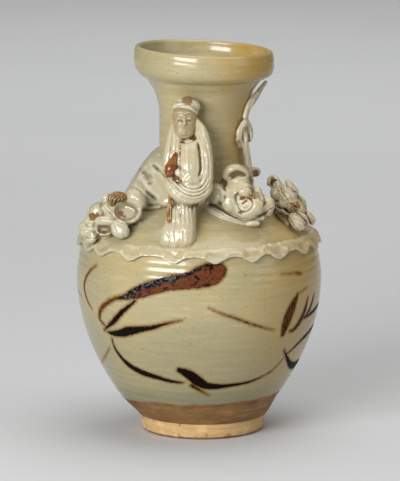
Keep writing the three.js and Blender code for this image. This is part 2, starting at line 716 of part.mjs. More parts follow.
// The bird on the right, its feathers laid over one another
const bird = [
  ['bird_body', ornamentGlaze, [lump(seat(79, 0.48, 6.4), [11.5, 9.5, 13])]],
  ['bird_head', ornamentGlaze, [
    roll(
      [seat(75, 0.16, 13), seat(78, 0.18, 19.6), seat(80, 0.3, 18), seat(77, 0.36, 12.6)],
      [1.8, 3, 3.6, 3.6],
      [2, 2.8, 3.2, 3.2],
    ),
  ]],
  ['bird_breast', ornamentGlaze, [
    roll([seat(73, 0.3, 14), seat(71, 0.38, 12), seat(69, 0.52, 9.4)], [4.2, 5, 4.2], [3.6, 4.2, 3.6]),
  ]],
  ['bird_near_feather', ornamentGlaze, [
    roll([seat(80, 0.4, 17), seat(78, 0.53, 17), seat(76, 0.66, 13.6)], [3, 4.2, 3.4], [2.8, 3.4, 2.8]),
  ]],
  ['bird_tall_feather', ornamentGlaze, [
    roll([seat(87, 0.45, 22), seat(85, 0.62, 18), seat(83, 0.68, 12)], [2, 3.2, 3], [2, 2.8, 2.6]),
  ]],
  ['bird_far_feather', ornamentGlaze, [
    roll([seat(88, 0.6, 14.6), seat(84, 0.77, 10.4)], [4, 3.8], [3.6, 3.4]),
  ]],
  ['bird_brown_feather', ironBrown, [
    roll([seat(70, 0.56, 9.4), seat(74, 0.67, 10), seat(79, 0.73, 9)], [3.6, 4.4, 3.6], [3, 3.6, 3]),
  ]],
  ['bird_wing', ornamentGlaze, [
    roll([seat(72, 0.64, 5.6), seat(71, 0.76, 4.6), seat(69, 0.86, 2)], [5.4, 7, 5], [4.4, 5, 3.6]),
  ]],
  ['bird_tail', ornamentGlaze, [
    roll([seat(82, 0.72, 6.4), seat(81, 0.84, 5.2), seat(82, 0.93, 3.6)], [4, 5, 4.2], [3.4, 4.2, 3.4]),
  ]],
  ['bird_perch', ornamentGlaze, [
    roll([seat(67, 0.34, 2.6), seat(64, 0.56, 2.6), seat(61, 0.82, 1)], [2, 2.3, 1.9], [2, 2.2, 1.8]),
  ]],
];

addPiece('foot_ring', footRing(), biscuit);
addPiece('body', body(), glaze);
addPiece('shoulder', shoulder(), glaze);
addPiece('neck', neck(), glaze);
addPiece('mouth', mouth(), glaze);
addPiece('shoulder_seam_coil', lutingCoil(shoulderEdgeRadius, shoulderEdgeHeight - 3, 2.4), bareClay);
addPiece('shoulder_frill', frill(), glaze);

// Each laid-on piece is trimmed to the vessel and to the pieces laid before it
function layOn(pieces) {
  const outside = vesselOutside();
  const laid = [frill(2 * slipGap)];
  for (const [name, finish, shapes] of pieces) {
    let solid = toSolid(shapes[0](0));
    for (const shape of shapes.slice(1)) solid = solid.add(toSolid(shape(0)));
    solid = solid.subtract(outside);
    for (const keepOut of laid) solid = solid.subtract(keepOut);
    addPiece(name, largestBody(solid), finish);
    laid.push(...shapes.map((shape) => toSolid(shape(slipGap))));
  }
}

layOn([...figure, ...dragon, ...leftBeast, ...flankAndTail, ...bird]);

export default urn;
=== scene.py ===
"""Dresses a glazed stoneware funerary urn: a thrown vessel with a thumb-pressed frill, ornament laid
on by hand and leaves painted in iron, on a pale floor in soft light. Sizes are worked in millimetres."""

import math

import bmesh
import bpy
import numpy as np
from bpy.props import FloatProperty, FloatVectorProperty, IntProperty, PointerProperty
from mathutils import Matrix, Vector


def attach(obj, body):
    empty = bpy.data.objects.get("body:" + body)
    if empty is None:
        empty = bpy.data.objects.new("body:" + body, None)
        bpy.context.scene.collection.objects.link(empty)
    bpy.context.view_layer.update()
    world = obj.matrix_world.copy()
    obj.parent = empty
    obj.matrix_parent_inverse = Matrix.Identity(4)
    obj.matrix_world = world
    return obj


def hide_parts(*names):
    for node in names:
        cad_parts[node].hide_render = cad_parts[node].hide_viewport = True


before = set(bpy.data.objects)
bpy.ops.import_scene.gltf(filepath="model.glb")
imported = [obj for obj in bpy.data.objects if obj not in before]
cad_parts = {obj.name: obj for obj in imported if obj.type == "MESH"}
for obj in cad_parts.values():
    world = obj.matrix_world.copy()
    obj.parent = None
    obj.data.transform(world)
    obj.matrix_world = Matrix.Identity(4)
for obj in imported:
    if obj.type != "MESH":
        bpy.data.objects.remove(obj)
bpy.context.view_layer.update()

bl_info = {
    "name": "Funerary urn",
    "version": (1, 0, 0),
    "blender": (4, 5, 0),
    "location": "3D View > Sidebar > Urn",
    "description": "Builds the looks of a glazed stoneware urn round its packed solids",
    "category": "Add Mesh",
}

MILLIMETRE = 0.001

# The front view: how far its camera is tilted down and how far it stands off, the point of the urn's
# middle plane that it looks at, its focal length and frame in pixels, and the pixels to a millimetre
PITCH = math.radians(10)
AWAY = 2700
AIM_ACROSS, AIM_HEIGHT = 0.7, 129.4
FOCAL = 3970.6
FRAME = np.array((400, 481))
PIXELS = 1.47

BELLY = 0.083  # half the urn's width in metres, for the finishes
SHOULDER = 37.6  # from the shoulder's edge in to the neck's root
CLAY_FACE = 0.42  # the usual size of the faces of modelled clay


def length(name, description, millimetres):
    """A size property that is shown in the scene's length unit."""
    return FloatProperty(name=name, description=description, default=millimetres * MILLIMETRE,
                         unit="LENGTH", subtype="DISTANCE", precision=4)


def colour(name, description, *levels):
    """A colour property, from levels from 0 to 255 as a paint chart gives them."""
    shares = np.array(levels) / 255
    shade = np.where(shares < 0.04045, shares / 12.92, ((shares + 0.055) / 1.055) ** 2.4)
    return FloatVectorProperty(name=name, description=description, default=tuple(shade),
                               subtype="COLOR", min=0, max=1, size=3)


class UrnSizes(bpy.types.PropertyGroup):
    """Sizes of the thrown vessel and its frill"""

    foot_radius: length("Foot radius", "Outside of the foot ring", 42.4)
    foot_height: length("Foot height", "Height of the foot ring", 11)
    foot_ring_width: length("Foot ring width", "Width of the ring that the urn stands on", 8.8)
    root_radius: length("Body root radius", "Body where it meets the foot", 43.6)
    belly_radius: length("Belly radius", "Widest part of the body", 83.1)
    belly_height: length("Belly height", "Height of the widest part", 106)
    edge_radius: length("Shoulder edge radius", "Shoulder under the frill", 79.6)
    edge_height: length("Shoulder edge height", "Height of the seam under the frill", 131.5)
    neck_root_radius: length("Neck root radius", "Neck where it leaves the shoulder", 42)
    neck_root_height: length("Neck root height", "Height of the seam at the neck's root", 158)
    neck_radius: length("Neck radius", "Narrowest part of the neck", 30.3)
    bore_radius: length("Neck bore radius", "Inside of the neck", 25.5)
    neck_low: length("Neck's lower end", "Where the neck becomes straight", 190)
    neck_high: length("Neck's upper end", "Where the neck begins to flare", 217)
    joint_radius: length("Mouth joint radius", "Ridge between neck and mouth", 33.8)
    joint_height: length("Mouth joint height", "Height of that ridge", 233)
    step_radius: length("Mouth step radius", "Step under the mouth's dish", 39.2)
    step_height: length("Mouth step height", "Height of that step", 241)
    mouth_radius: length("Mouth radius", "Outside of the mouth's dish", 47.2)
    rim_height: length("Rim height", "Mean height of the rim", 261.3)
    lip: length("Lip thickness", "Thickness of the rolled lip", 3.6)
    wall: length("Wall thickness", "Wall of the thrown sections", 5.6)
    foot_offset: length("Foot offset", "How far the foot stands off the body's axis", 2.5)
    neck_offset: length("Neck offset", "How far the neck stands off the body's axis", 3.4)
    rim_slope: FloatProperty(name="Rim slope", description="Fall of the rim to the right", default=0.049)
    throwing: length("Throwing ridges", "Height of the ridges that the fingers left", 0.11)
    front_turns: IntProperty(name="Front faces", description="Faces round the front half of the body", default=400)


class UrnColours(bpy.types.PropertyGroup):
    """Colours of the glaze, the clay and the iron painting"""

    glaze: colour("Glaze", "Glaze of an even thickness", 167, 156, 118)
    thin: colour("Thin glaze", "Glaze on edges and ridges", 198, 187, 150)
    warm: colour("Warm glaze", "Glaze that the flame has warmed", 184, 163, 116)
    # Also laid on the glaze's left sides as painted shade
    pooled: colour("Pooled glaze", "Glaze that has run thick", 136, 132, 102)
    # Painted shade and reflection, laid on the glaze's right sides
    toasted: colour("Toasted glaze", "Glaze on the side that met the flame", 168, 134, 56)
    # Also painted shade at the bottom of the ornament's creases
    deep: colour("Deep glaze", "Glaze at the bottom of a crease", 84, 66, 34)
    clay: colour("Bare clay", "Unglazed clay that the fire has toasted", 132, 99, 56)
    scorched: colour("Scorched clay", "Clay at the glaze's edge", 98, 64, 38)
    biscuit: colour("Foot clay", "Scraped clay of the foot", 202, 169, 118)
    rust: colour("Iron rust", "Iron painting where it is thick", 112, 62, 36)
    lacquer: colour("Iron red", "Iron on the gourd", 106, 42, 12)
    ochre: colour("Ochre", "Iron on the tassel", 146, 102, 34)
    black: colour("Iron black", "Iron painting at its darkest", 17, 9, 5)
    brown: colour("Iron brown", "Iron painting where it is thin", 116, 78, 16)
    umber: colour("Umber", "Iron painting between thin and dark", 74, 46, 20)
    burnt: colour("Burnt rust", "Darker grains in the rust", 70, 34, 22)
    steel: colour("Steel grey", "Bloom on the thickest iron", 104, 104, 106)
    orange: colour("Orange clay", "Clouds in the bare clay", 176, 120, 66)
    straw: colour("Straw clay", "Turned streaks in the bare clay", 176, 146, 100)
    singed: colour("Singed clay", "Bare clay just under the glaze", 118, 70, 38)
    chalky: colour("Chalky glaze", "Thin glaze on modelled clay", 192, 187, 168)
    # On the face this wash is mostly painted shade under the cap's brim
    wash_and_shade: colour("Iron wash", "Thin iron brushed over modelled clay", 136, 114, 72)
    ridge: colour("Ridge", "Glaze that drew back from modelled ridges", 214, 211, 197)
    # Also painted shade in the ornament's hollows
    settled_glaze_and_shade: colour("Settled glaze", "Glaze in the hollows of modelled clay", 128, 106, 68)
    foot_tan: colour("Foot tan", "Turned streaks in the foot's clay", 186, 138, 84)
    foot_pale: colour("Foot pale", "Pale clouds in the foot's clay", 226, 196, 146)
    foot_red: colour("Foot red", "Flashes of the flame on the foot", 176, 98, 44)
    floor: colour("Floor", "The floor's pale paper", 203, 205, 206)
    paper: colour("Paper clouds", "The paper where it is a little darker", 196, 198, 200)
    air: colour("Air", "The light from all round", 222, 217, 208)


# Shader values -------------------------------------------------------------


class Value:
    """An output of a shader node. A sum written with values adds the Math nodes for it."""

    def __init__(self, tree, socket=None):
        self.tree = tree
        self.socket = socket

    def node(self, kind, settings=None, sockets=None, out=0):
        """Adds a node of that type, with its settings and then its sockets' values or links."""
        made = self.tree.nodes.new("ShaderNode" + kind)
        for key, setting in (settings or {}).items():
            setattr(made, key, setting)
        for key, given in (sockets or {}).items():
            if isinstance(given, Value):
                self.tree.links.new(given.socket, made.inputs[key])
            elif hasattr(given, "__len__") and len(given) < len(made.inputs[key].default_value):
                made.inputs[key].default_value = (*given, 1)
            else:
                made.inputs[key].default_value = given
        return Value(self.tree, made.outputs[out])

    def maths(self, operation, *terms):
        """Adds a Math node."""
        return self.node("Math", {"operation": operation}, dict(enumerate(terms)))

    def __add__(self, other):
        return self.maths("ADD", self, other)

    def __sub__(self, other):
        return self.maths("SUBTRACT", self, other)

    def __rsub__(self, other):
        return self.maths("SUBTRACT", other, self)

    def __mul__(self, other):
        return self.maths("MULTIPLY", self, other)

    def __truediv__(self, other):
        return self.maths("DIVIDE", self, other)

    __radd__ = __add__
    __rmul__ = __mul__

    def smaller(self, other):
        return self.maths("MINIMUM", self, other)

    def rise(self, low, high):
        """0 below low, 1 above high, and smooth between them."""
        return self.node("MapRange", {"interpolation_type": "SMOOTHSTEP"},
                         {0: self, 1: low, 2: high, 3: 0.0, 4: 1.0})

    def mix(self, other, share):
        """This colour with the other one laid over it by that share."""
        return self.node("Mix", {"data_type": "RGBA"}, {0: share, 6: self, 7: other}, out=2)

    def stretched(self, *scales):
        """This place scaled along each axis, so that noise is drawn out where the scale is small."""
        return self.node("VectorMath", {"operation": "MULTIPLY"}, {0: self, 1: scales})

    def noise(self, size, detail=3.0, roughness=0.55, warp=0.0):
        """Cloudy noise whose features are that many millimetres across."""
        return self.node("TexNoise", None, {"Vector": self, "Scale": 1 / (size * MILLIMETRE), "Detail": detail,
                                            "Roughness": roughness, "Distortion": warp})


class Finish:
    """A material: a Principled shader, and the values that the finish is written with."""

    def __init__(self, name, roughness, coat=0.0):
        self.material = bpy.data.materials.new(name)
        self.material.use_nodes = True
        tree = self.material.node_tree
        self.shader = tree.nodes["Principled BSDF"]
        self.shader.inputs["Roughness"].default_value = roughness
        self.shader.inputs["Coat Weight"].default_value = coat
        self.shader.inputs["Coat Roughness"].default_value = 0.06
        self.shader.inputs["Specular IOR Level"].default_value = 0.4
        self.value = Value(tree)
        self.place = self.value.node("TexCoord", out="Object")
        self.across = self.along(0)
        self.height = self.along(2) * (1 / MILLIMETRE)

    def along(self, axis):
        """How far a point lies along an axis, in metres."""
        return self.value.node("SeparateXYZ", None, {0: self.place}, out=axis)

    def colour(self, shade):
        """A plain colour to lay others over."""
        return self.value.node("Mix", {"data_type": "RGBA"}, {0: 0.0, 6: shade, 7: shade}, out=2)

    def field(self, name):
        """What the mesh's points hold under that name."""
        return self.value.node("Attribute", {"attribute_name": name}, out="Fac")

    def feed(self, name, given):
        self.value.tree.links.new(given.socket, self.shader.inputs[name])

    def ink(self, shade, share):
        """Lays ink over the glaze by that share. It shines less than the glaze does."""
        over = self.value.node("BsdfPrincipled", None,
                               {"Base Color": shade, "Roughness": 0.5, "Specular IOR Level": 0.05})
        under = Value(self.value.tree, self.shader.outputs[0])
        both = self.value.node("MixShader", None, {0: share, 1: under, 2: over})
        self.value.tree.links.new(both.socket, self.value.tree.nodes["Material Output"].inputs["Surface"])

    def relief(self, height, strength, millimetres=0.2):
        """Bumps from a height between 0 and 1."""
        self.feed("Normal", self.value.node("Bump", None, {
            "Strength": strength, "Distance": millimetres * MILLIMETRE, "Height": height}, out="Normal"))


def glaze(finish, colours, pooled, sides=0.8):
    """The glaze's colour, and the fine relief that goes with it, from how thick the glaze lies. The right side is
    browned with painted shade and reflection, and the left side darkened with painted shade, both scaled by sides."""
    place = finish.place
    clouds = place.noise(34, 3)
    streaks = place.stretched(0.12, 0.12, 1).noise(2.6, 4, 0.6)
    shade = finish.colour(colours.glaze).mix(colours.warm, clouds.rise(0.42, 0.68) * 0.55)
    shade = shade.mix(colours.thin, streaks.rise(0.5, 0.74) * 0.35)
    shade = shade.mix(colours.pooled, (1 - streaks).rise(0.52, 0.78) * 0.4)
    shade = shade.mix(colours.pooled, pooled)
    across = finish.across / (BELLY - 0.048 * finish.height.rise(146, 182))
    # Painted shade and reflection: the right side is browned towards the toasted colour, most at the edge
    shade = shade.mix(colours.toasted, (across + (clouds - 0.5) * 0.4).rise(0.15, 1.1) * sides)
    # Painted shade: the left side is darkened towards the pooled colour
    shade = shade.mix(colours.pooled, (0 - across).rise(0.4, 1.1) * 0.4 * sides)
    mottle = place.noise(1.7, 2, 0.7)
    shade = shade.mix(colours.pooled, mottle.rise(0.5, 0.78) * 0.28)
    specks = place.noise(1.25, 1.5).rise(0.67, 0.72) * place.noise(16, 1).rise(0.38, 0.6)
    shade = shade.mix(colours.deep, specks * 0.75)
    pale = place.noise(1.3, 1.0, warp=0.4).rise(0.7, 0.76)
    shade = shade.mix(colours.thin, pale * 0.4)
    relief = streaks * 0.5 + mottle * 0.25 - specks * 0.5
    return shade, relief


def vessel_glaze(colours):
    """The thrown sections' glaze."""
    finish = Finish("grey_green_glaze", 0.2, 0.25)
    shade, relief = glaze(finish, colours, finish.height.rise(100, 60) * 0.5)
    finish.feed("Base Color", shade)
    finish.relief(relief, 0.35)
    return finish


def body_glaze(colours):
    """The body's glaze, with iron painting in it, over clay that stays bare above the foot."""
    finish = Finish("painted_body_glaze", 0.2, 0.0)
    place, height = finish.place, finish.height
    wander = place.noise(30, 2) * 7 + place.noise(7, 2) * 2.4
    left = (finish.across * (-1 / BELLY)).rise(0.1, 0.75)
    edge = height - wander - 23 + left * 4.5
    glazed = (edge + (place.noise(1.6, 3, 0.7) - 0.5) * 1.6).rise(-0.9, 1.1)
    pooled = height.rise(104, 60) * 0.5 + edge.rise(15, 3) * 0.6
    shade, relief = glaze(finish, colours, pooled.smaller(1.0))

    fine = place.noise(0.7, 3, 0.7)
    grain = place.noise(2.2, 3, 0.65)
    load, rust, out = finish.field("load"), finish.field("rust"), finish.field("stroke_edge")
    along, side = finish.field("along"), finish.field("side")
    hairs = finish.value.node("CombineXYZ", None, {0: along * 0.0009, 1: side * 0.0045}).noise(3.4, 3, 0.6)
    halo = (1 - (out + (grain - 0.5) * 2).rise(-0.2, 2.2)) * (0.32 + 0.5 * load)
    shade = shade.mix(colours.brown, halo)
    mask = 1 - (out + (fine - 0.5) * 1.5 + (grain - 0.5) * 1.8 + (hairs - 0.5) * 2.4).rise(-0.25, 0.15)
    broken = (hairs * 0.7 + fine * 0.3 + 0.62 - finish.field("dry")).rise(0.4, 0.62)
    mask = mask * broken
    strength = load * 1.15 + (grain - 0.5) * 0.9 + (hairs - 0.5) * 1.6 - out.rise(-1.3, 0.1) * 0.45
    ink = finish.colour(colours.brown).mix(colours.umber, strength.rise(0.1, 0.5))
    ink = ink.mix(colours.black, strength.rise(0.4, 0.8))
    blots = (place.noise(5.5, 3, 0.7) - 0.5) * 3.2 + (grain - 0.5) * 2.6
    reddened = (rust + blots - 0.3).rise(0.2, 0.62) * rust.rise(0.05, 0.3) * (1 - out.rise(-1.1, -0.1) * 0.7)
    blued = (1 - rust) * rust.rise(0.01, 0.04) * (load - 0.8).rise(0, 0.1)
    blued = blued * place.noise(1.8, 3, 0.7).rise(0.48, 0.62)
    rusted = finish.colour(colours.rust).mix(colours.burnt, (grain * 0.6 + fine * 0.4).rise(0.4, 0.62) * 0.75)
    ink = ink.mix(colours.steel, blued * 0.7).mix(rusted, reddened)
    finish.ink(ink, mask)

    bare = finish.colour(colours.clay)
    bare = bare.mix(colours.scorched, place.stretched(0.35, 0.35, 1).noise(6, 4).rise(0.48, 0.74) * 0.8)
    bare = bare.mix(colours.orange, place.noise(12, 3).rise(0.5, 0.72) * 0.5)
    bare = bare.mix(colours.straw, place.stretched(0.15, 0.15, 1).noise(3.2, 3, 0.6).rise(0.52, 0.7) * 0.5)
    bare = bare.mix(colours.singed, edge.rise(-4, -0.3) * place.noise(5, 3).rise(0.3, 0.6) * 0.8)
    bare = bare.mix(colours.scorched, left * place.stretched(0.4, 0.4, 1).noise(9, 3).rise(0.4, 0.62) * 0.6)
    finish.feed("Base Color", bare.mix(shade, glazed))
    finish.feed("Roughness", 0.72 - glazed * 0.52)
    finish.feed("Coat Weight", glazed * 0.25)
    lip = edge.rise(-1, 1.4) * 1.2
    finish.relief(relief * glazed + (1 - glazed) * grain * 1.2 + lip + mask * 0.25, 0.4)
    return finish


# dark scales the darkening of creases and hollows, pooled glaze with painted shade; sides scales the painted side
# shade
def ornament_glaze(colours, name, dark=1.0, pale=0.3, wash_and_shade=0.0, sides=0.3):
    """Glaze on modelled clay: thin and pale on ridges, dark in creases and hollows, where pooled glaze and painted
    shade are laid in together, with stains and a wash of iron.
    """
    finish = Finish(name, 0.15 + 0.25 * wash_and_shade, 0.3 * (1 - wash_and_shade))
    hollow, crease = finish.field("hollow"), finish.field("crease")
    grain = finish.place.noise(1.6, 3, 0.65)
    # Pooled glaze in the hollows, with painted shade
    shade, relief = glaze(finish, colours, hollow.rise(0.1, 0.9) * 0.4 * dark, sides)
    shade = shade.mix(colours.chalky, pale * 1.3).mix(colours.wash_and_shade, wash_and_shade * 0.8)
    shade = shade.mix(colours.ridge, (0 - crease).rise(0.05, 0.5) * 2 * pale)
    shade = shade.mix(colours.warm, finish.place.noise(9, 3).rise(0.5, 0.68) * 0.4)
    # Painted shade and settled glaze in the hollows
    shade = shade.mix(colours.settled_glaze_and_shade, (hollow + (grain - 0.5)).rise(0.25, 1.2) * 0.6 * dark)
    # Painted shade and pooled glaze at the bottom of creases
    shade = shade.mix(colours.deep, (crease + (grain - 0.5) * 0.5).rise(0.4, 1.2) * 0.9 * dark)
    iron = finish.field("iron")
    stained = (iron * 1.1 + (grain - 0.5) * 1.5 + (finish.place.noise(4, 3) - 0.5) + crease * 0.3).rise(0.3, 1.0)
    stained = stained * iron.rise(0.02, 0.3)
    tint = finish.colour(colours.brown).mix(colours.rust, finish.field("red") * 0.8)
    tint = tint.mix(colours.deep, finish.place.noise(2.4, 2, 0.7).rise(0.5, 0.7) * 0.7)
    finish.feed("Base Color", shade.mix(tint, stained * 0.9))
    finish.relief(relief + grain * 0.3, 0.3)
    return finish


def iron_glaze(colours, name, tone, bare=0.3):
    """Ornament brushed with iron of that tone before it was glazed: dark in creases, worn pale on ridges
    and bare up to that share of the grain."""
    finish = Finish(name, 0.2, 0.25)
    place, crease = finish.place, finish.field("crease")
    shade, relief = glaze(finish, colours, crease.rise(0.05, 0.5) * 0.8)
    grain = place.noise(2.4, 4, 0.7)
    brushed = (grain + crease * 0.25).rise(bare, bare + 0.22)
    ink = finish.colour(tone).mix(colours.ochre, place.noise(6, 2, 0.5).rise(0.47, 0.6) * 0.6)
    ink = ink.mix(colours.black, (grain * 0.8 + crease * 0.4).rise(0.34, 0.6) * 0.85)
    finish.feed("Base Color", shade.mix(colours.brown, 0.55).mix(ink, brushed * 0.95))
    finish.relief(relief + grain * 0.4, 0.3)
    return finish


def biscuit(colours):
    """The foot's scraped clay."""
    finish = Finish("scraped_foot_clay", 0.78)
    place, height = finish.place, finish.height
    turned = place.stretched(0.1, 0.1, 1).noise(1.8, 4, 0.65)
    shade = finish.colour(colours.biscuit).mix(colours.foot_tan, turned.rise(0.44, 0.66) * 0.5)
    shade = shade.mix(colours.foot_pale, place.noise(9, 2).rise(0.5, 0.66) * 0.6)
    shade = shade.mix(colours.foot_red, place.noise(6, 3).rise(0.6, 0.68) * 0.7)
    shade = shade.mix(colours.scorched, (1 - (height + place.noise(5, 2) * 2.2).rise(1.6, 3.4)) * 0.85)
    finish.feed("Base Color", shade)
    finish.relief(turned + place.noise(0.8, 2) * 0.6, 0.6, 0.25)
    return finish


def bare_clay(colours):
    """Clay that stays unglazed inside."""
    finish = Finish("bare_inner_clay", 0.85)
    grain = finish.place.noise(3, 4, 0.65)
    finish.feed("Base Color", finish.colour(colours.clay).mix(colours.scorched, grain.rise(0.4, 0.65) * 0.6))
    finish.relief(grain, 0.5)
    return finish


# Shapes --------------------------------------------------------------------


def bezier(*corners, count=60):
    """A cubic curve from its four corners."""
    t = np.linspace(0, 1, count)[:, None]
    a, b, c, d = np.array(corners, float)
    return (1 - t) ** 3 * a + 3 * (1 - t) ** 2 * t * b + 3 * (1 - t) * t**2 * c + t**3 * d


def offset(curve, distance):
    """A curve pushed out from its clay by a distance, or into it where that is negative."""
    along = np.gradient(curve, axis=0)
    along /= np.linalg.norm(along, axis=1)[:, None]
    return curve + np.stack([along[:, 1], -along[:, 0]], 1) * distance


def smoothstep(values, low, high):
    """0 below low, 1 above high, and smooth between them."""
    share = np.clip((values - low) / (high - low), 0, 1)
    return share * share * (3 - 2 * share)


class Vessel:
    """The thrown vessel's curves in millimetres, from its sizes."""

    def __init__(self, sizes):
        for name in sizes.__annotations__:
            value = getattr(sizes, name)
            setattr(self, name, value if name in ("rim_slope", "front_turns") else value / MILLIMETRE)
        foot, belly, edge = self.foot_height, self.belly_height, self.edge_height
        root, step = self.neck_root_height, self.step_height
        self.body = bezier((self.root_radius, foot), (self.root_radius + 16, foot + 19),
                           (self.belly_radius, belly - 42), (self.belly_radius, belly), count=120)
        self.upper = bezier((self.belly_radius, belly), (self.belly_radius, belly + 8),
                            (self.edge_radius + 1.3, edge - 8), (self.edge_radius, edge), count=40)
        self.dome = bezier((self.edge_radius, edge), (self.edge_radius, edge + 7),
                           (self.neck_root_radius + 18, root - 9), (self.neck_root_radius, root))
        self.neck_root = bezier((self.neck_root_radius, root), (self.neck_root_radius - 7, root + 3),
                                (self.neck_radius, self.neck_low - 18), (self.neck_radius, self.neck_low))
        self.neck_top = bezier((self.neck_radius, self.neck_high), (self.neck_radius, self.neck_high + 6),
                               (self.joint_radius - 1.6, self.joint_height - 5),
                               (self.joint_radius, self.joint_height))
        self.flare = bezier((self.joint_radius, self.joint_height),
                            (self.joint_radius + 1.6, self.joint_height + 3),
                            (self.step_radius - 2, step - 3), (self.step_radius, step), count=24)
        self.dish = bezier((self.step_radius, step), (self.step_radius + 7.5, step + 3),
                           (self.mouth_radius + 0.4, step + 6), (self.mouth_radius, self.rim_height - 6))
        self.outline = np.vstack([self.body, self.upper, self.dome, self.neck_root, self.neck_top, self.flare,
                                  self.dish])

    def radius(self, height):
        """The outside's radius at a height."""
        return np.interp(height, self.outline[:, 1], self.outline[:, 0])

    def dome_height(self, radius):
        return np.interp(-radius, -self.dome[:, 0], self.dome[:, 1])

    def dome_radius(self, height):
        return np.interp(height, self.dome[:, 1], self.dome[:, 0])

    def settle(self, points):
        """The foot and the neck stand off the body's axis, and the rim dips."""
        x, y, z = points[..., 0], points[..., 1], points[..., 2]
        shift = self.foot_offset * (1 - smoothstep(z, self.foot_height, self.foot_height + 14))
        shift = shift + self.neck_offset * smoothstep(z, self.neck_root_height - 12, self.neck_root_height + 4)
        dip = self.rim_slope * x * smoothstep(z, self.joint_height + 3, self.step_height + 9)
        return np.stack([x + shift, y, z - dip], -1)

    def ripple(self, angle, height, seed=0.0):
        """The ridges and slow waves that throwing leaves on a wall."""
        climb = height + angle / (2 * math.pi) * 5.2 + 0.8 * np.sin(3 * angle + height / 21)
        ridges = np.sin(2 * math.pi * climb / 5.2 + seed) * (0.55 + 0.45 * np.sin(height / 17 + seed))
        fine = np.sin(2 * math.pi * climb / 1.9 + 2 * seed) * 0.35
        slow = np.sin(2 * angle + seed) * 0.9 + np.sin(3 * angle - height / 30 + 2 * seed) * 0.6
        return self.throwing * (ridges + fine + slow)


def grid(rows, columns, wrap_rows=False):
    """The faces of a grid of points that closes round its columns, and round its rows if told to."""
    row = np.arange(rows if wrap_rows else rows - 1)[:, None] * columns
    column = np.arange(columns)[None]
    after, above = (column + 1) % columns, (row + columns) % (rows * columns)
    return np.stack([row + column, row + after, above + after, above + column], -1).reshape(-1, 4)


def skin(name, points, faces, finish, replaced, fields=None):
    """Makes a piece's mesh, welds it at the axis, gives it its finish and puts it in the frame."""
    dress(name, skin_mesh(name, points, faces), finish, replaced, fields)


def dress(name, mesh, finish, replaced, fields=None, sharp=40):
    """Gives a mesh its finish, with the fields that the finish reads and edges sharp over that many
    degrees, and puts it in the frame in place of the solids that it replaces."""
    mesh.shade_smooth()
    mesh.set_sharp_from_angle(angle=math.radians(sharp))
    mesh.materials.append(finish.material)
    if fields:
        for key, values in fields(get_points(mesh)).items():
            mesh.attributes.new(key, "FLOAT", "POINT").data.foreach_set("value", values.astype(np.float32))
    piece = bpy.data.objects.new(name, mesh)
    bpy.context.collection.objects.link(piece)
    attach(piece, "root")
    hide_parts(*replaced)


def turns(count):
    """Angles round the vessel, from the back, twice as close over the front."""
    even = np.linspace(-math.pi, math.pi, count, endpoint=False)
    return even - 0.42 * np.sin(even)


def resample(points, step):
    """A profile's points at even distances, with its corners kept where they are over 30 degrees."""
    points = np.array(points, float)
    points = points[np.r_[True, np.linalg.norm(np.diff(points, axis=0), axis=1) > 1e-6]]
    way = np.diff(points, axis=0)
    turn = np.abs(np.angle(np.exp(1j * np.diff(np.arctan2(way[:, 1], way[:, 0])))))
    corners = [0, *(np.flatnonzero(turn > 0.5) + 1), len(points) - 1]
    made = [points[:1]]
    for first, last in zip(corners, corners[1:]):
        piece = points[first:last + 1]
        far = np.r_[0, np.cumsum(np.linalg.norm(np.diff(piece, axis=0), axis=1))]
        marks = np.linspace(0, far[-1], max(2, int(far[-1] / step) + 2))[1:]
        made.append(np.stack([np.interp(marks, far, piece[:, 0]), np.interp(marks, far, piece[:, 1])], 1))
    return np.vstack(made)


def thrown(vessel, profile, count, rippled, seed=0.0):
    """A thrown section's points and faces, from its closed profile and how far each point of that is
    rippled, with so many faces round it."""
    angle = turns(count)
    height = profile[:, 1][:, None] + 0 * angle
    radius = profile[:, 0][:, None] + rippled[:, None] * vessel.ripple(angle, height, seed)
    points = np.stack([radius * np.sin(angle), -radius * np.cos(angle), height], -1)
    return vessel.settle(points).reshape(-1, 3), grid(len(profile), count, wrap_rows=True)


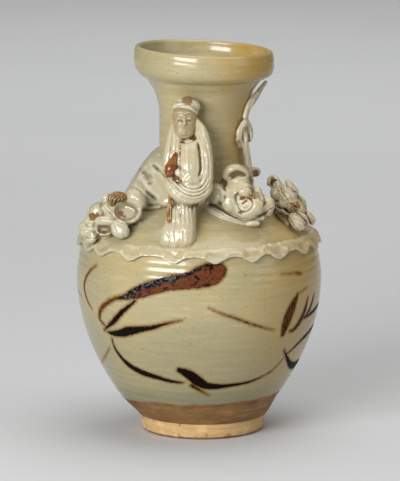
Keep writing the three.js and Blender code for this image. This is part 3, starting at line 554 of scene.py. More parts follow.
# Where the painted strokes run on the body: degrees from the front to the right, height and half
# width, then how much iron the brush held, how red it fired and how dry the brush was at its end
STROKES = (
    (((-46.9, 99.2, 0.4), (-37.7, 102.5, 1.5), (-30.7, 106.3, 3.8), (-21.6, 111.5, 4.6), (-13.1, 115, 4.8),
      (-4.8, 116.9, 5.6), (1.8, 119.6, 7.2), (6, 121.4, 7.4), (9.6, 123.2, 4.8)), 0.95, 1.0, 0.0),
    (((-35, 105.4, 0.8), (-46.4, 98, 1.6), (-53.6, 90.4, 1.8), (-55.1, 84, 1.4), (-51.6, 80.4, 0.8)), 0.36, 0, 0.2),
    (((-30.4, 101.6, 0.8), (-38, 93, 1.7), (-44.6, 84.8, 1.8), (-53.4, 76.8, 0.6)), 0.85, 0, 0.2),
    (((-50.9, 76, 0.5), (-46.3, 75.8, 1.8), (-39.9, 77.6, 2.9), (-36.3, 79.3, 3.2), (-28.9, 81.9, 2.1),
      (-22.2, 84, 1.5), (-15, 87.5, 1), (-8.1, 90.1, 0.5)), 0.95, 0, 0.55),
    (((-57.6, 120.4, 0.6), (-65, 112.4, 1.1), (-68.7, 103.3, 1.2), (-66.1, 95.4, 1),
      (-61.6, 89.6, 0.6)), 0.5, 0.2, 0.2),
    (((-48.4, 72.1, 0.5), (-48.2, 65.8, 0.9), (-45, 58.7, 1.5), (-39.7, 53.1, 2.2), (-31.1, 49.2, 2.2),
      (-22.6, 46.9, 1.7), (-14.3, 44.9, 1.2), (-9.1, 44.5, 0.5)), 0.95, 0, 0.1),
    (((-10.4, 54, 2), (-5.7, 51.2, 3.4), (-0.8, 46.2, 3.9), (4, 42.4, 2.4)), 1.0, 0, 0.1),
    (((-1.9, 44.7, 2.2), (4.4, 42.2, 2.8), (12.9, 41.6, 2), (21.7, 42.2, 1.3), (30.8, 43.4, 1), (38.7, 46, 0.7),
      (46.6, 50.8, 0.6), (51.1, 57.4, 0.5)), 0.9, 0, 0.5),
    (((-4, 42.5, 1.8), (1.3, 38.4, 1.2), (6, 35, 0.5)), 0.5, 0, 0.2),
    (((4.7, 98.6, 0.1), (8.4, 95.8, 0.3), (16.9, 91, 0.6), (28.1, 84.6, 0.6), (38.9, 79.7, 0.2)), 0.85, 0, 0.2),
    (((42, 117.4, 0.3), (49, 116.6, 0.5), (54, 115.6, 1), (56.4, 115, 0.7)), 0.3, 0, 0),
    (((45, 75.6, 2), (46.2, 84, 4.2), (48.8, 93, 4), (52.8, 102, 1.2)), 0.42, 0.3, 0.1),
    (((49.6, 77, 1), (52.4, 77, 1.6), (56.4, 81, 2.4), (59.8, 88, 2.3), (62, 97.4, 0.8)), 0.42, 0.25, 0.2),
    (((61.3, 84.2, 0.8), (66, 89.2, 1.4), (69.4, 98, 0.8)), 0.8, 0, 0.2),
    (((60.6, 83.4, 0.8), (69.7, 85.2, 1.5), (82.2, 87.6, 1.6), (94, 86, 0.6)), 0.85, 0, 0.2),
    (((51.9, 100.6, 0.5), (55.4, 102.8, 0.5), (61.1, 104.6, 0.4)), 0.25, 0, 0.2),
    (((53.4, 60, 0.8), (61.8, 65.8, 1.3), (70.8, 70, 1.9), (84.7, 73, 1.8), (98, 72, 0.7)), 0.8, 0, 0.2),
    (((49.2, 63.6, 0.7), (54.4, 56.8, 1.2), (64, 49.4, 2.6), (76, 47.6, 3.8), (92, 50.6, 1.2)), 0.95, 0, 0.15),
    (((-74.1, 48.1, 0.5), (-60.5, 56.6, 0.5), (-52.1, 64.9, 0.4)), 0.22, 0, 0.2),
    (((-92, 99, 0.5), (-83.5, 97.5, 0.6), (-74.2, 95.1, 0.5)), 0.5, 0, 0.1),
)


def smooth_path(points, step=0.6):
    """A centripetal curve through the points, at even steps."""
    points = np.array(points, float)
    if len(points) > 2:
        ends = np.vstack([2 * points[0] - points[1], points, 2 * points[-1] - points[-2]])
        gaps = np.linalg.norm(np.diff(ends, axis=0), axis=1) ** 0.5
        t = np.linspace(0, 1, 24, endpoint=False)[:, None]
        made = []
        for i in range(len(points) - 1):
            a, b, c, d = ends[i:i + 4]
            g0, g1, g2 = gaps[i:i + 3]
            start = ((b - a) / g0 - (c - a) / (g0 + g1) + (c - b) / g1) * g1
            stop = ((c - b) / g1 - (d - b) / (g1 + g2) + (d - c) / g2) * g1
            made.append((2 * t**3 - 3 * t**2 + 1) * b + (t**3 - 2 * t**2 + t) * start
                        + (3 * t**2 - 2 * t**3) * c + (t**3 - t**2) * stop)
        points = np.vstack([*made, points[-1:]])
    far = np.r_[0, np.cumsum(np.linalg.norm(np.diff(points[:, :3], axis=0), axis=1))]
    marks = np.linspace(0, far[-1], max(6, int(far[-1] / step) + 1))
    return np.stack([np.interp(marks, far, column) for column in points.T], 1), marks


def painted(vessel):
    """How far each point of the body is from the nearest painted stroke, and what that stroke carries."""
    unpainted, reach = 9.0, 10

    def fields(places):
        edge = np.full(len(places), unpainted)
        load, rust, dry, along, side = np.zeros((5, len(places)))
        for keys, iron, red, dryness in STROKES:
            keys = np.array(keys)
            turn, radius = np.radians(keys[:, 0]), vessel.radius(keys[:, 1])
            path, far = smooth_path(np.column_stack([radius * np.sin(turn), -radius * np.cos(turn), keys[:, 1:]]))
            low, high = path[:, :3].min(0) - reach, path[:, :3].max(0) + reach
            near = np.flatnonzero(((places > low) & (places < high)).all(1))
            apart = np.linalg.norm(places[near, None] - path[None, :, :3], axis=2) - path[:, 3]
            best = apart.argmin(1)
            found = apart[np.arange(len(near)), best]
            win = found < edge[near]
            at, best = near[win], best[win]
            share = far[best] / far[-1]
            way = np.gradient(path[:, :3], axis=0)[best]
            upwards = unit(np.cross(outward(places[at]), way))
            edge[at] = found[win]
            side[at] = ((places[at] - path[best, :3]) * upwards).sum(1)
            along[at] = far[best]
            load[at] = iron * (1 - 0.4 * smoothstep(share, 0.5, 1) * (dryness > 0.4))
            late = smoothstep(share, 0.5, 0.95)
            lower = 1 - smoothstep(side[at] / path[best, 3], -0.35 + 0.9 * late, 0.45 + 0.6 * late)
            rust[at] = red * (0.04 + 0.96 * smoothstep(share, 0.18, 0.4) * (lower if red == 1 else 1))
            dry[at] = dryness * smoothstep(share, 0.4, 0.95)
        return {"stroke_edge": edge, "load": load, "rust": rust, "dry": dry, "along": along, "side": side}

    return fields


# Operators -----------------------------------------------------------------


class UrnPiece:
    """What the urn's operators share."""

    bl_options = {"REGISTER", "UNDO"}

    def execute(self, context):
        self.build(Vessel(context.scene.urn_sizes), context.scene.urn_colours)
        return {"FINISHED"}


class URN_OT_foot(UrnPiece, bpy.types.Operator):
    """Turn the foot ring and scrape it clean"""

    bl_idname = "urn.foot"
    bl_label = "Foot ring"

    def build(self, vessel, colours):
        outer, height = vessel.foot_radius, vessel.foot_height
        inner = outer - vessel.foot_ring_width
        profile = resample([(inner + 1.2, 0), (outer - 2.6, 0), (outer - 1.5, 0.5), (outer - 0.9, 1.5),
                            (outer - 0.5, height / 2), (outer + 0.3, height), (inner, height), (inner, 1.2),
                            (inner + 1.2, 0)], step=0.7)[:-1]
        rippled = smoothstep(profile[:, 1], 0.6, 2) * (profile[:, 0] > inner + 4) * 1.6
        points, faces = thrown(vessel, profile, 240, rippled, seed=2.0)
        skin("scraped_foot", points, faces, biscuit(colours), ["foot_ring"])


class URN_OT_body(UrnPiece, bpy.types.Operator):
    """Throw the body, glaze it down to the bare band and paint its leaves"""

    bl_idname = "urn.body"
    bl_label = "Body"

    def build(self, vessel, colours):
        recess, ceiling, floor = 33.3, 6.5, 14.5
        side = np.vstack([vessel.body[:-1], vessel.upper])
        inner = offset(side, -vessel.wall)
        inner = inner[inner[:, 1] > floor + 7.5][::-1]
        outer = resample(side, step=0.95)
        inside = resample(np.vstack([inner, [(inner[-1, 0] - 9, floor + 1.5), (0, floor)]]), step=5)
        under = np.array([(0, ceiling), (16, ceiling), (recess, ceiling), (recess, vessel.foot_height)])
        profile = np.vstack([under, outer, [(outer[-1, 0], vessel.edge_height + 0.4)], inside])
        rippled = np.zeros(len(profile))
        first = len(under)
        rippled[first:first + len(outer)] = smoothstep(outer[:, 1], 14, 30) * smoothstep(outer[:, 1], 131, 126)
        count = int(vessel.front_turns * 1.36)
        points, faces = thrown(vessel, profile, count, rippled)
        faces = faces[:-count]
        skin("painted_body", points, faces, body_glaze(colours), ["body"], painted(vessel))


class URN_OT_upper_sections(UrnPiece, bpy.types.Operator):
    """Throw the shoulder, the neck and the mouth, luted so that the glaze runs over their seams"""

    bl_idname = "urn.upper_sections"
    bl_label = "Shoulder, neck and mouth"

    def build(self, vessel, colours):
        finish = vessel_glaze(colours)
        wall, bore = vessel.wall, vessel.bore_radius
        root, joint, step = vessel.neck_root_height, vessel.joint_height, vessel.step_height

        def section(name, outer, inside, seed, strength=1.0):
            outer, inside = resample(outer, step=0.8), resample(inside, step=2.2)
            profile = np.vstack([outer, inside])
            rippled = np.zeros(len(profile))
            ends = np.minimum(np.arange(len(outer)), len(outer) - 1 - np.arange(len(outer)))
            rippled[:len(outer)] = smoothstep(ends, 0, 6) * strength
            points, faces = thrown(vessel, profile, 360, rippled, seed)
            skin("glazed_" + name, points, faces, finish, [name])

        under = offset(vessel.dome, -wall)[::-1]
        under = np.vstack([[(bore + 0.5, root), (bore + 0.5, root - 1)], under[under[:, 1] < root - 5]])
        section("shoulder", np.vstack([[(vessel.edge_radius, vessel.edge_height + 0.3)], vessel.dome[1:]]),
                under, 1.0, 0.9)
        section("neck", np.vstack([vessel.neck_root, vessel.neck_top]),
                [(bore, joint), (bore, root + 0.3)], 3.0, 0.8)
        lip = vessel.lip / 2
        centre = vessel.mouth_radius - lip - 0.7
        turn = np.linspace(0.15, math.pi, 14)
        rim = np.stack([centre + lip * np.cos(turn), vessel.rim_height - lip + lip * np.sin(turn)], 1)
        inside = bezier((centre - lip, vessel.rim_height - lip - 1), (centre - lip - 0.4, step + 8),
                        (bore + 10, step + 5), (bore + 5, step), count=24)
        section("mouth", np.vstack([vessel.flare, vessel.dish[1:], rim]),
                np.vstack([inside, [(bore + 1, step - 3), (bore, step - 5), (bore, joint)]]), 5.0, 0.7)


def press_phase(angle):
    """Where the thumb presses are, how far off the nearest one is from each angle, and its number. All
    angles are in degrees."""
    front = [-65.8, -52.9, -33.4, -11.4, 8.2, 26.2, 41.3, 59.5, 73.4]
    back = np.linspace(front[-1], 360 + front[0], 13)[1:-1]
    presses = np.r_[front, back]
    apart = (angle[:, None] - presses[None] + 180) % 360 - 180
    index = np.abs(apart).argmin(1)
    return presses, apart[np.arange(len(angle)), index], index


class URN_OT_frill(UrnPiece, bpy.types.Operator):
    """Press the frill along the shoulder's edge with the thumb"""

    bl_idname = "urn.frill"
    bl_label = "Thumb-pressed frill"

    def build(self, vessel, colours):
        count = 1080
        angle = np.degrees(turns(count))
        presses, apart, index = press_phase(angle)
        away = np.radians(apart) * vessel.edge_radius
        wrapped = (angle - presses[0]) % 360 + presses[0]
        left = np.searchsorted(presses, wrapped, "right") - 1
        right = np.r_[presses, presses[0] + 360][left + 1]
        phase = (wrapped - presses[left]) / (right - presses[left])
        press = (0.5 + 0.5 * np.cos(2 * math.pi * phase)) ** 1.4
        own = np.sin(index * 12.9898) * 0.5
        slant = away + own * 1.6
        dent = np.exp(-((slant / 5.4) ** 2)) * (0.85 + 0.3 * np.sin(index * 7.1))
        ridge = np.exp(-(((np.abs(slant) - 7.4) / 2.0) ** 2)) * (1 + 0.3 * np.sin(index * 4.3 + np.sign(slant)))
        turn = np.radians(angle)
        ragged = 0.28 * np.sin(29 * turn + 1) + 0.2 * np.sin(67 * turn) + 0.16 * np.sin(113 * turn + 2)
        slump = np.exp(-((slant / 6.2) ** 2))
        foot = vessel.edge_height + 0.5 - 4.2 * slump - 0.4 * ragged - 0.5 * press
        top = vessel.edge_height + 6.5 + 0.5 * ragged - 0.7 * dent
        wall = np.interp(foot, vessel.outline[:, 1], vessel.outline[:, 0])
        share = np.linspace(0, 1, 26)[:, None]
        height = foot + (top - foot) * share
        above = np.maximum(height, vessel.edge_height)
        hugging = np.where(height > vessel.edge_height, vessel.dome_radius(above), wall)
        thickness = 2.1 * np.clip(1 - share**3, 0, 1) + 0.5
        lumpy = 0.2 * np.sin(23 * turn + 5 * share) * np.sin(37 * turn - 6 * share + 1)
        lumpy = lumpy + 0.05 * np.sin(97 * turn + 13 * share)
        scoop = 2.0 * dent * np.exp(-(((share - 0.56) / 0.24) ** 2))
        tongue = 0.6 * dent * np.exp(-(((share - 0.12) / 0.15) ** 2))
        pinch = ridge * (0.5 * np.exp(-(((share - 0.4) / 0.3) ** 2)))
        rounded = np.clip(np.minimum(share, 1.02 - share) * 12, 0.0, 1) ** 0.5
        outer = hugging + (thickness - scoop + tongue + pinch + 0.12 * ragged + lumpy) * rounded
        inner_share = np.linspace(1, 0, 8)[1:-1, None]
        inner_height = foot + (top - foot) * inner_share
        inner = np.where(inner_height > vessel.edge_height + 1, vessel.dome_radius(inner_height) - 1.2,
                         vessel.radius(inner_height) - 1.2)
        radius = np.vstack([outer, inner])
        height = np.vstack([height, inner_height])
        points = vessel.settle(np.stack([radius * np.sin(turn), -radius * np.cos(turn), height], -1))
        mesh = skin_mesh("thumbed_frill", points.reshape(-1, 3), grid(len(radius), count, wrap_rows=True))
        # Strong painted shade and reflection on the frill's right side, and pooled glaze with painted shade in its
        # thumb hollows
        finish = ornament_glaze(colours, "frill_glaze", 0.75, 0.14, sides=0.9)
        dress("thumbed_frill", mesh, finish, ["shoulder_frill"], hollows(mesh), sharp=60)


# Ornament ------------------------------------------------------------------


def unit(vectors):
    """Directions as vectors of length one."""
    vectors = np.array(vectors, float)
    return vectors / np.linalg.norm(vectors, axis=-1, keepdims=True)


def outward(places, rise=0.0):
    """The way out of the vessel at places: level on the neck, leaning up on the shoulder."""
    flat = unit(np.array(places, float) * (1, 1, 0))
    return unit(flat + np.array((0, 0, rise)))


def front_out(places):
    """Towards the front, a little up and a little outwards."""
    return unit(unit(np.array(places, float) * (1, 1, 0)) * 0.5 + np.array((0, -1, 0.25)))


def upward(places):
    return np.broadcast_to((0.0, 0.0, 1.0), np.shape(places))


def roll(places, wide, thick, facing=None, full=1.0, sides=30):
    """A hand-rolled piece: a sphere drawn out along a curve, with its half widths and thicknesses. Its
    broad side faces out of the vessel, and it is boxier where full is under one."""
    path, far = smooth_path(places, 0.4)
    length = far[-1]
    count = max(18, int(length / 0.8))
    turn = np.linspace(0, math.pi, count)
    share = 0.4 * turn / math.pi + 0.6 * (1 - np.cos(turn)) / 2
    centre = np.stack([np.interp(share * length, far, column) for column in path.T[:3]], 1)
    slope = np.gradient(path[:, :3], far, axis=0)
    along = unit(np.stack([np.interp(share * length, far, column) for column in slope.T], 1))
    near = np.clip(share * length / min(wide[0], thick[0]), 0, 1)
    past = np.clip((1 - share) * length / min(wide[-1], thick[-1]), 0, 1)
    round_end = np.sqrt((1 - (1 - near) ** 2) * (1 - (1 - past) ** 2))[:, None, None]
    out = (facing or (lambda p: outward(p, 1.0)))(centre)
    out = unit(out - along * (out * along).sum(1, keepdims=True))
    side = np.cross(along, out)
    angle = np.linspace(0, 2 * math.pi, sides, endpoint=False)[None, :, None]
    across, rise = np.cos(angle), np.sin(angle)
    across = np.sign(across) * np.abs(across) ** full
    rise = np.sign(rise) * np.abs(rise) ** full
    widths = np.interp(share, np.linspace(0, 1, len(wide)), wide)[:, None, None]
    depths = np.interp(share, np.linspace(0, 1, len(thick)), thick)[:, None, None]
    points = centre[:, None] + side[:, None] * across * round_end * widths
    points = points + out[:, None] * rise * round_end * depths
    return points.reshape(-1, 3), grid(count, sides)


def lathe(profile, place, axis, squash=1.0):
    """A profile of radius and height spun round an axis, and squashed on its second side."""
    axis = unit(axis)
    side = unit(np.cross((0, 0, 1), axis))
    other = np.cross(axis, side)
    sides, profile = 64, np.array(profile, float)
    closed = np.allclose(profile[0], profile[-1])
    if closed:
        profile = profile[:-1]
    angle = np.linspace(0, 2 * math.pi, sides, endpoint=False)[None, :, None]
    radius, height = profile[:, 0, None, None], profile[:, 1, None, None]
    points = place + radius * (np.cos(angle) * side + squash * np.sin(angle) * other) + height * axis
    return points.reshape(-1, 3), grid(len(profile), sides, closed)


def lump(place, halves, rise=1.0):
    """A pressed lump: half sizes across, out of the vessel and up along it."""
    across, out, along = halves
    turn = np.linspace(0, math.pi, 40)
    normal = outward(place, rise)
    points, faces = lathe(np.stack([np.sin(turn), -np.cos(turn)], 1), np.zeros(3), normal)
    side = unit(np.cross((0, 0, 1), normal))
    up = np.cross(normal, side)
    shape = np.outer(points @ side * across, side) + np.outer(points @ up * along, up)
    return place + (shape + np.outer(points @ normal * out, normal)), faces


def cup(place, facing, radius, depth, lip, squash):
    """A pinched cup that is open towards a direction, and squashed on one side."""
    outer = bezier((0.01, -depth), (0.75 * radius, -depth), (radius, -0.6 * depth), (radius, -0.15 * depth),
                   count=16)
    turn = np.linspace(0, math.pi, 10)[1:-1]
    rim = np.stack([radius - lip / 2 + lip / 2 * np.cos(turn), 0.35 * lip * np.sin(turn)], 1)
    inner = bezier((radius - lip, -0.4), (0.85 * (radius - lip), -0.6 * depth), (0.5 * radius, lip - depth),
                   (0.01, lip - depth), count=16)
    return lathe(np.vstack([outer, rim, inner]), place, facing, squash)


def band(place, axis, radius, width, height):
    """A band of clay round an axis, with a rounded edge."""
    turn = np.linspace(-math.pi / 2, math.pi / 2, 9)
    edge = [(radius - 0.5 + np.cos(t), height * np.sin(t)) for t in turn]
    inner = radius - width
    return lathe([(inner, -height), *edge, (inner, height), (inner, -height)], place, axis)


class Seats:
    """Where laid-on pieces sit, on the shoulder, on the neck and within the figure."""

    def __init__(self, vessel):
        self.vessel = vessel
        self.root = self.seat(-7.2, 0.7, -3.5)
        lean = math.atan2(vessel.edge_radius - 0.3 * SHOULDER - vessel.neck_radius - 14, 82)
        self.up = np.array((0, math.sin(lean), math.cos(lean)))
        self.out = np.array((0, -math.cos(lean), math.sin(lean)))

    def seat(self, degrees, share, lift):
        """A place on the shoulder: degrees to the right, the share of the way out, and its lift."""
        radius = self.vessel.edge_radius - (1 - share) * SHOULDER
        turn = math.radians(degrees)
        height = self.vessel.dome_height(min(radius, self.vessel.edge_radius - 0.5))
        return np.array((radius * math.sin(turn), -radius * math.cos(turn), height + lift))

    def on_neck(self, degrees, rise, lift):
        """A place on the neck: degrees to the right, its rise over the neck's root, and its lift."""
        height = self.vessel.neck_root_height + rise
        radius = self.vessel.radius(height) + lift
        turn = math.radians(degrees)
        return np.array((radius * math.sin(turn) + self.vessel.neck_offset, -radius * math.cos(turn), height))

    def seen(self, across, down, front):
        """The point seen at a place in the front view's frame, that far in front of the vessel's axis."""
        lift = 0.0
        for _ in range(4):
            away = AWAY - front * math.cos(PITCH) - lift * math.sin(PITCH)
            lift = ((FRAME[1] / 2 - down) * away / FOCAL + front * math.sin(PITCH)) / math.cos(PITCH)
        return np.array((AIM_ACROSS + (across - FRAME[0] / 2) * away / FOCAL, -front, AIM_HEIGHT + lift))

    def on_dome(self, across, down, lift):
        """The point of the shoulder seen at a place in the front view's frame, and that far off it."""
        fronts = np.linspace(85, 5, 161)
        points = np.array([self.seen(across, down, front) for front in fronts])
        inside = np.hypot(points[:, 0], points[:, 1]) < self.vessel.radius(points[:, 2])
        point = points[max(1, inside.argmax())]
        return point + lift * outward(point, 1.0)

    def in_figure(self, across, out, height):
        """A place in the figure, from its foot: to the right, out of the vessel and up its back."""
        return self.root + across * np.array((1, 0, 0)) + out * self.out + height * self.up


def flank(vessel):
    """The beast's flank, a slab wound round the neck's root: degrees, distance from the neck, rise over
    its root, half width and half thickness."""
    keys = [(-14, 5.7, 13, 11, 3), (-32, 5.7, 14, 17, 4.4), (-55, 7.7, 13, 24, 7), (-85, 9.7, 11.5, 30, 9.4),
            (-120, 9.7, 10, 29, 9.4), (-155, 8.7, 9, 25, 9), (-190, 7.2, 6.5, 17, 7), (-222, 6.2, 5, 9, 4.6)]
    places = []
    for degrees, out, rise, _, _ in keys:
        turn, radius = math.radians(degrees), vessel.neck_radius + out
        places.append((radius * math.sin(turn) + vessel.neck_offset, -radius * math.cos(turn),
                       vessel.neck_root_height + rise))
    _, _, _, wide, thick = zip(*keys)
    return roll(places, wide, thick, facing=lambda p: outward(p, 0.65), full=0.75, sides=200)


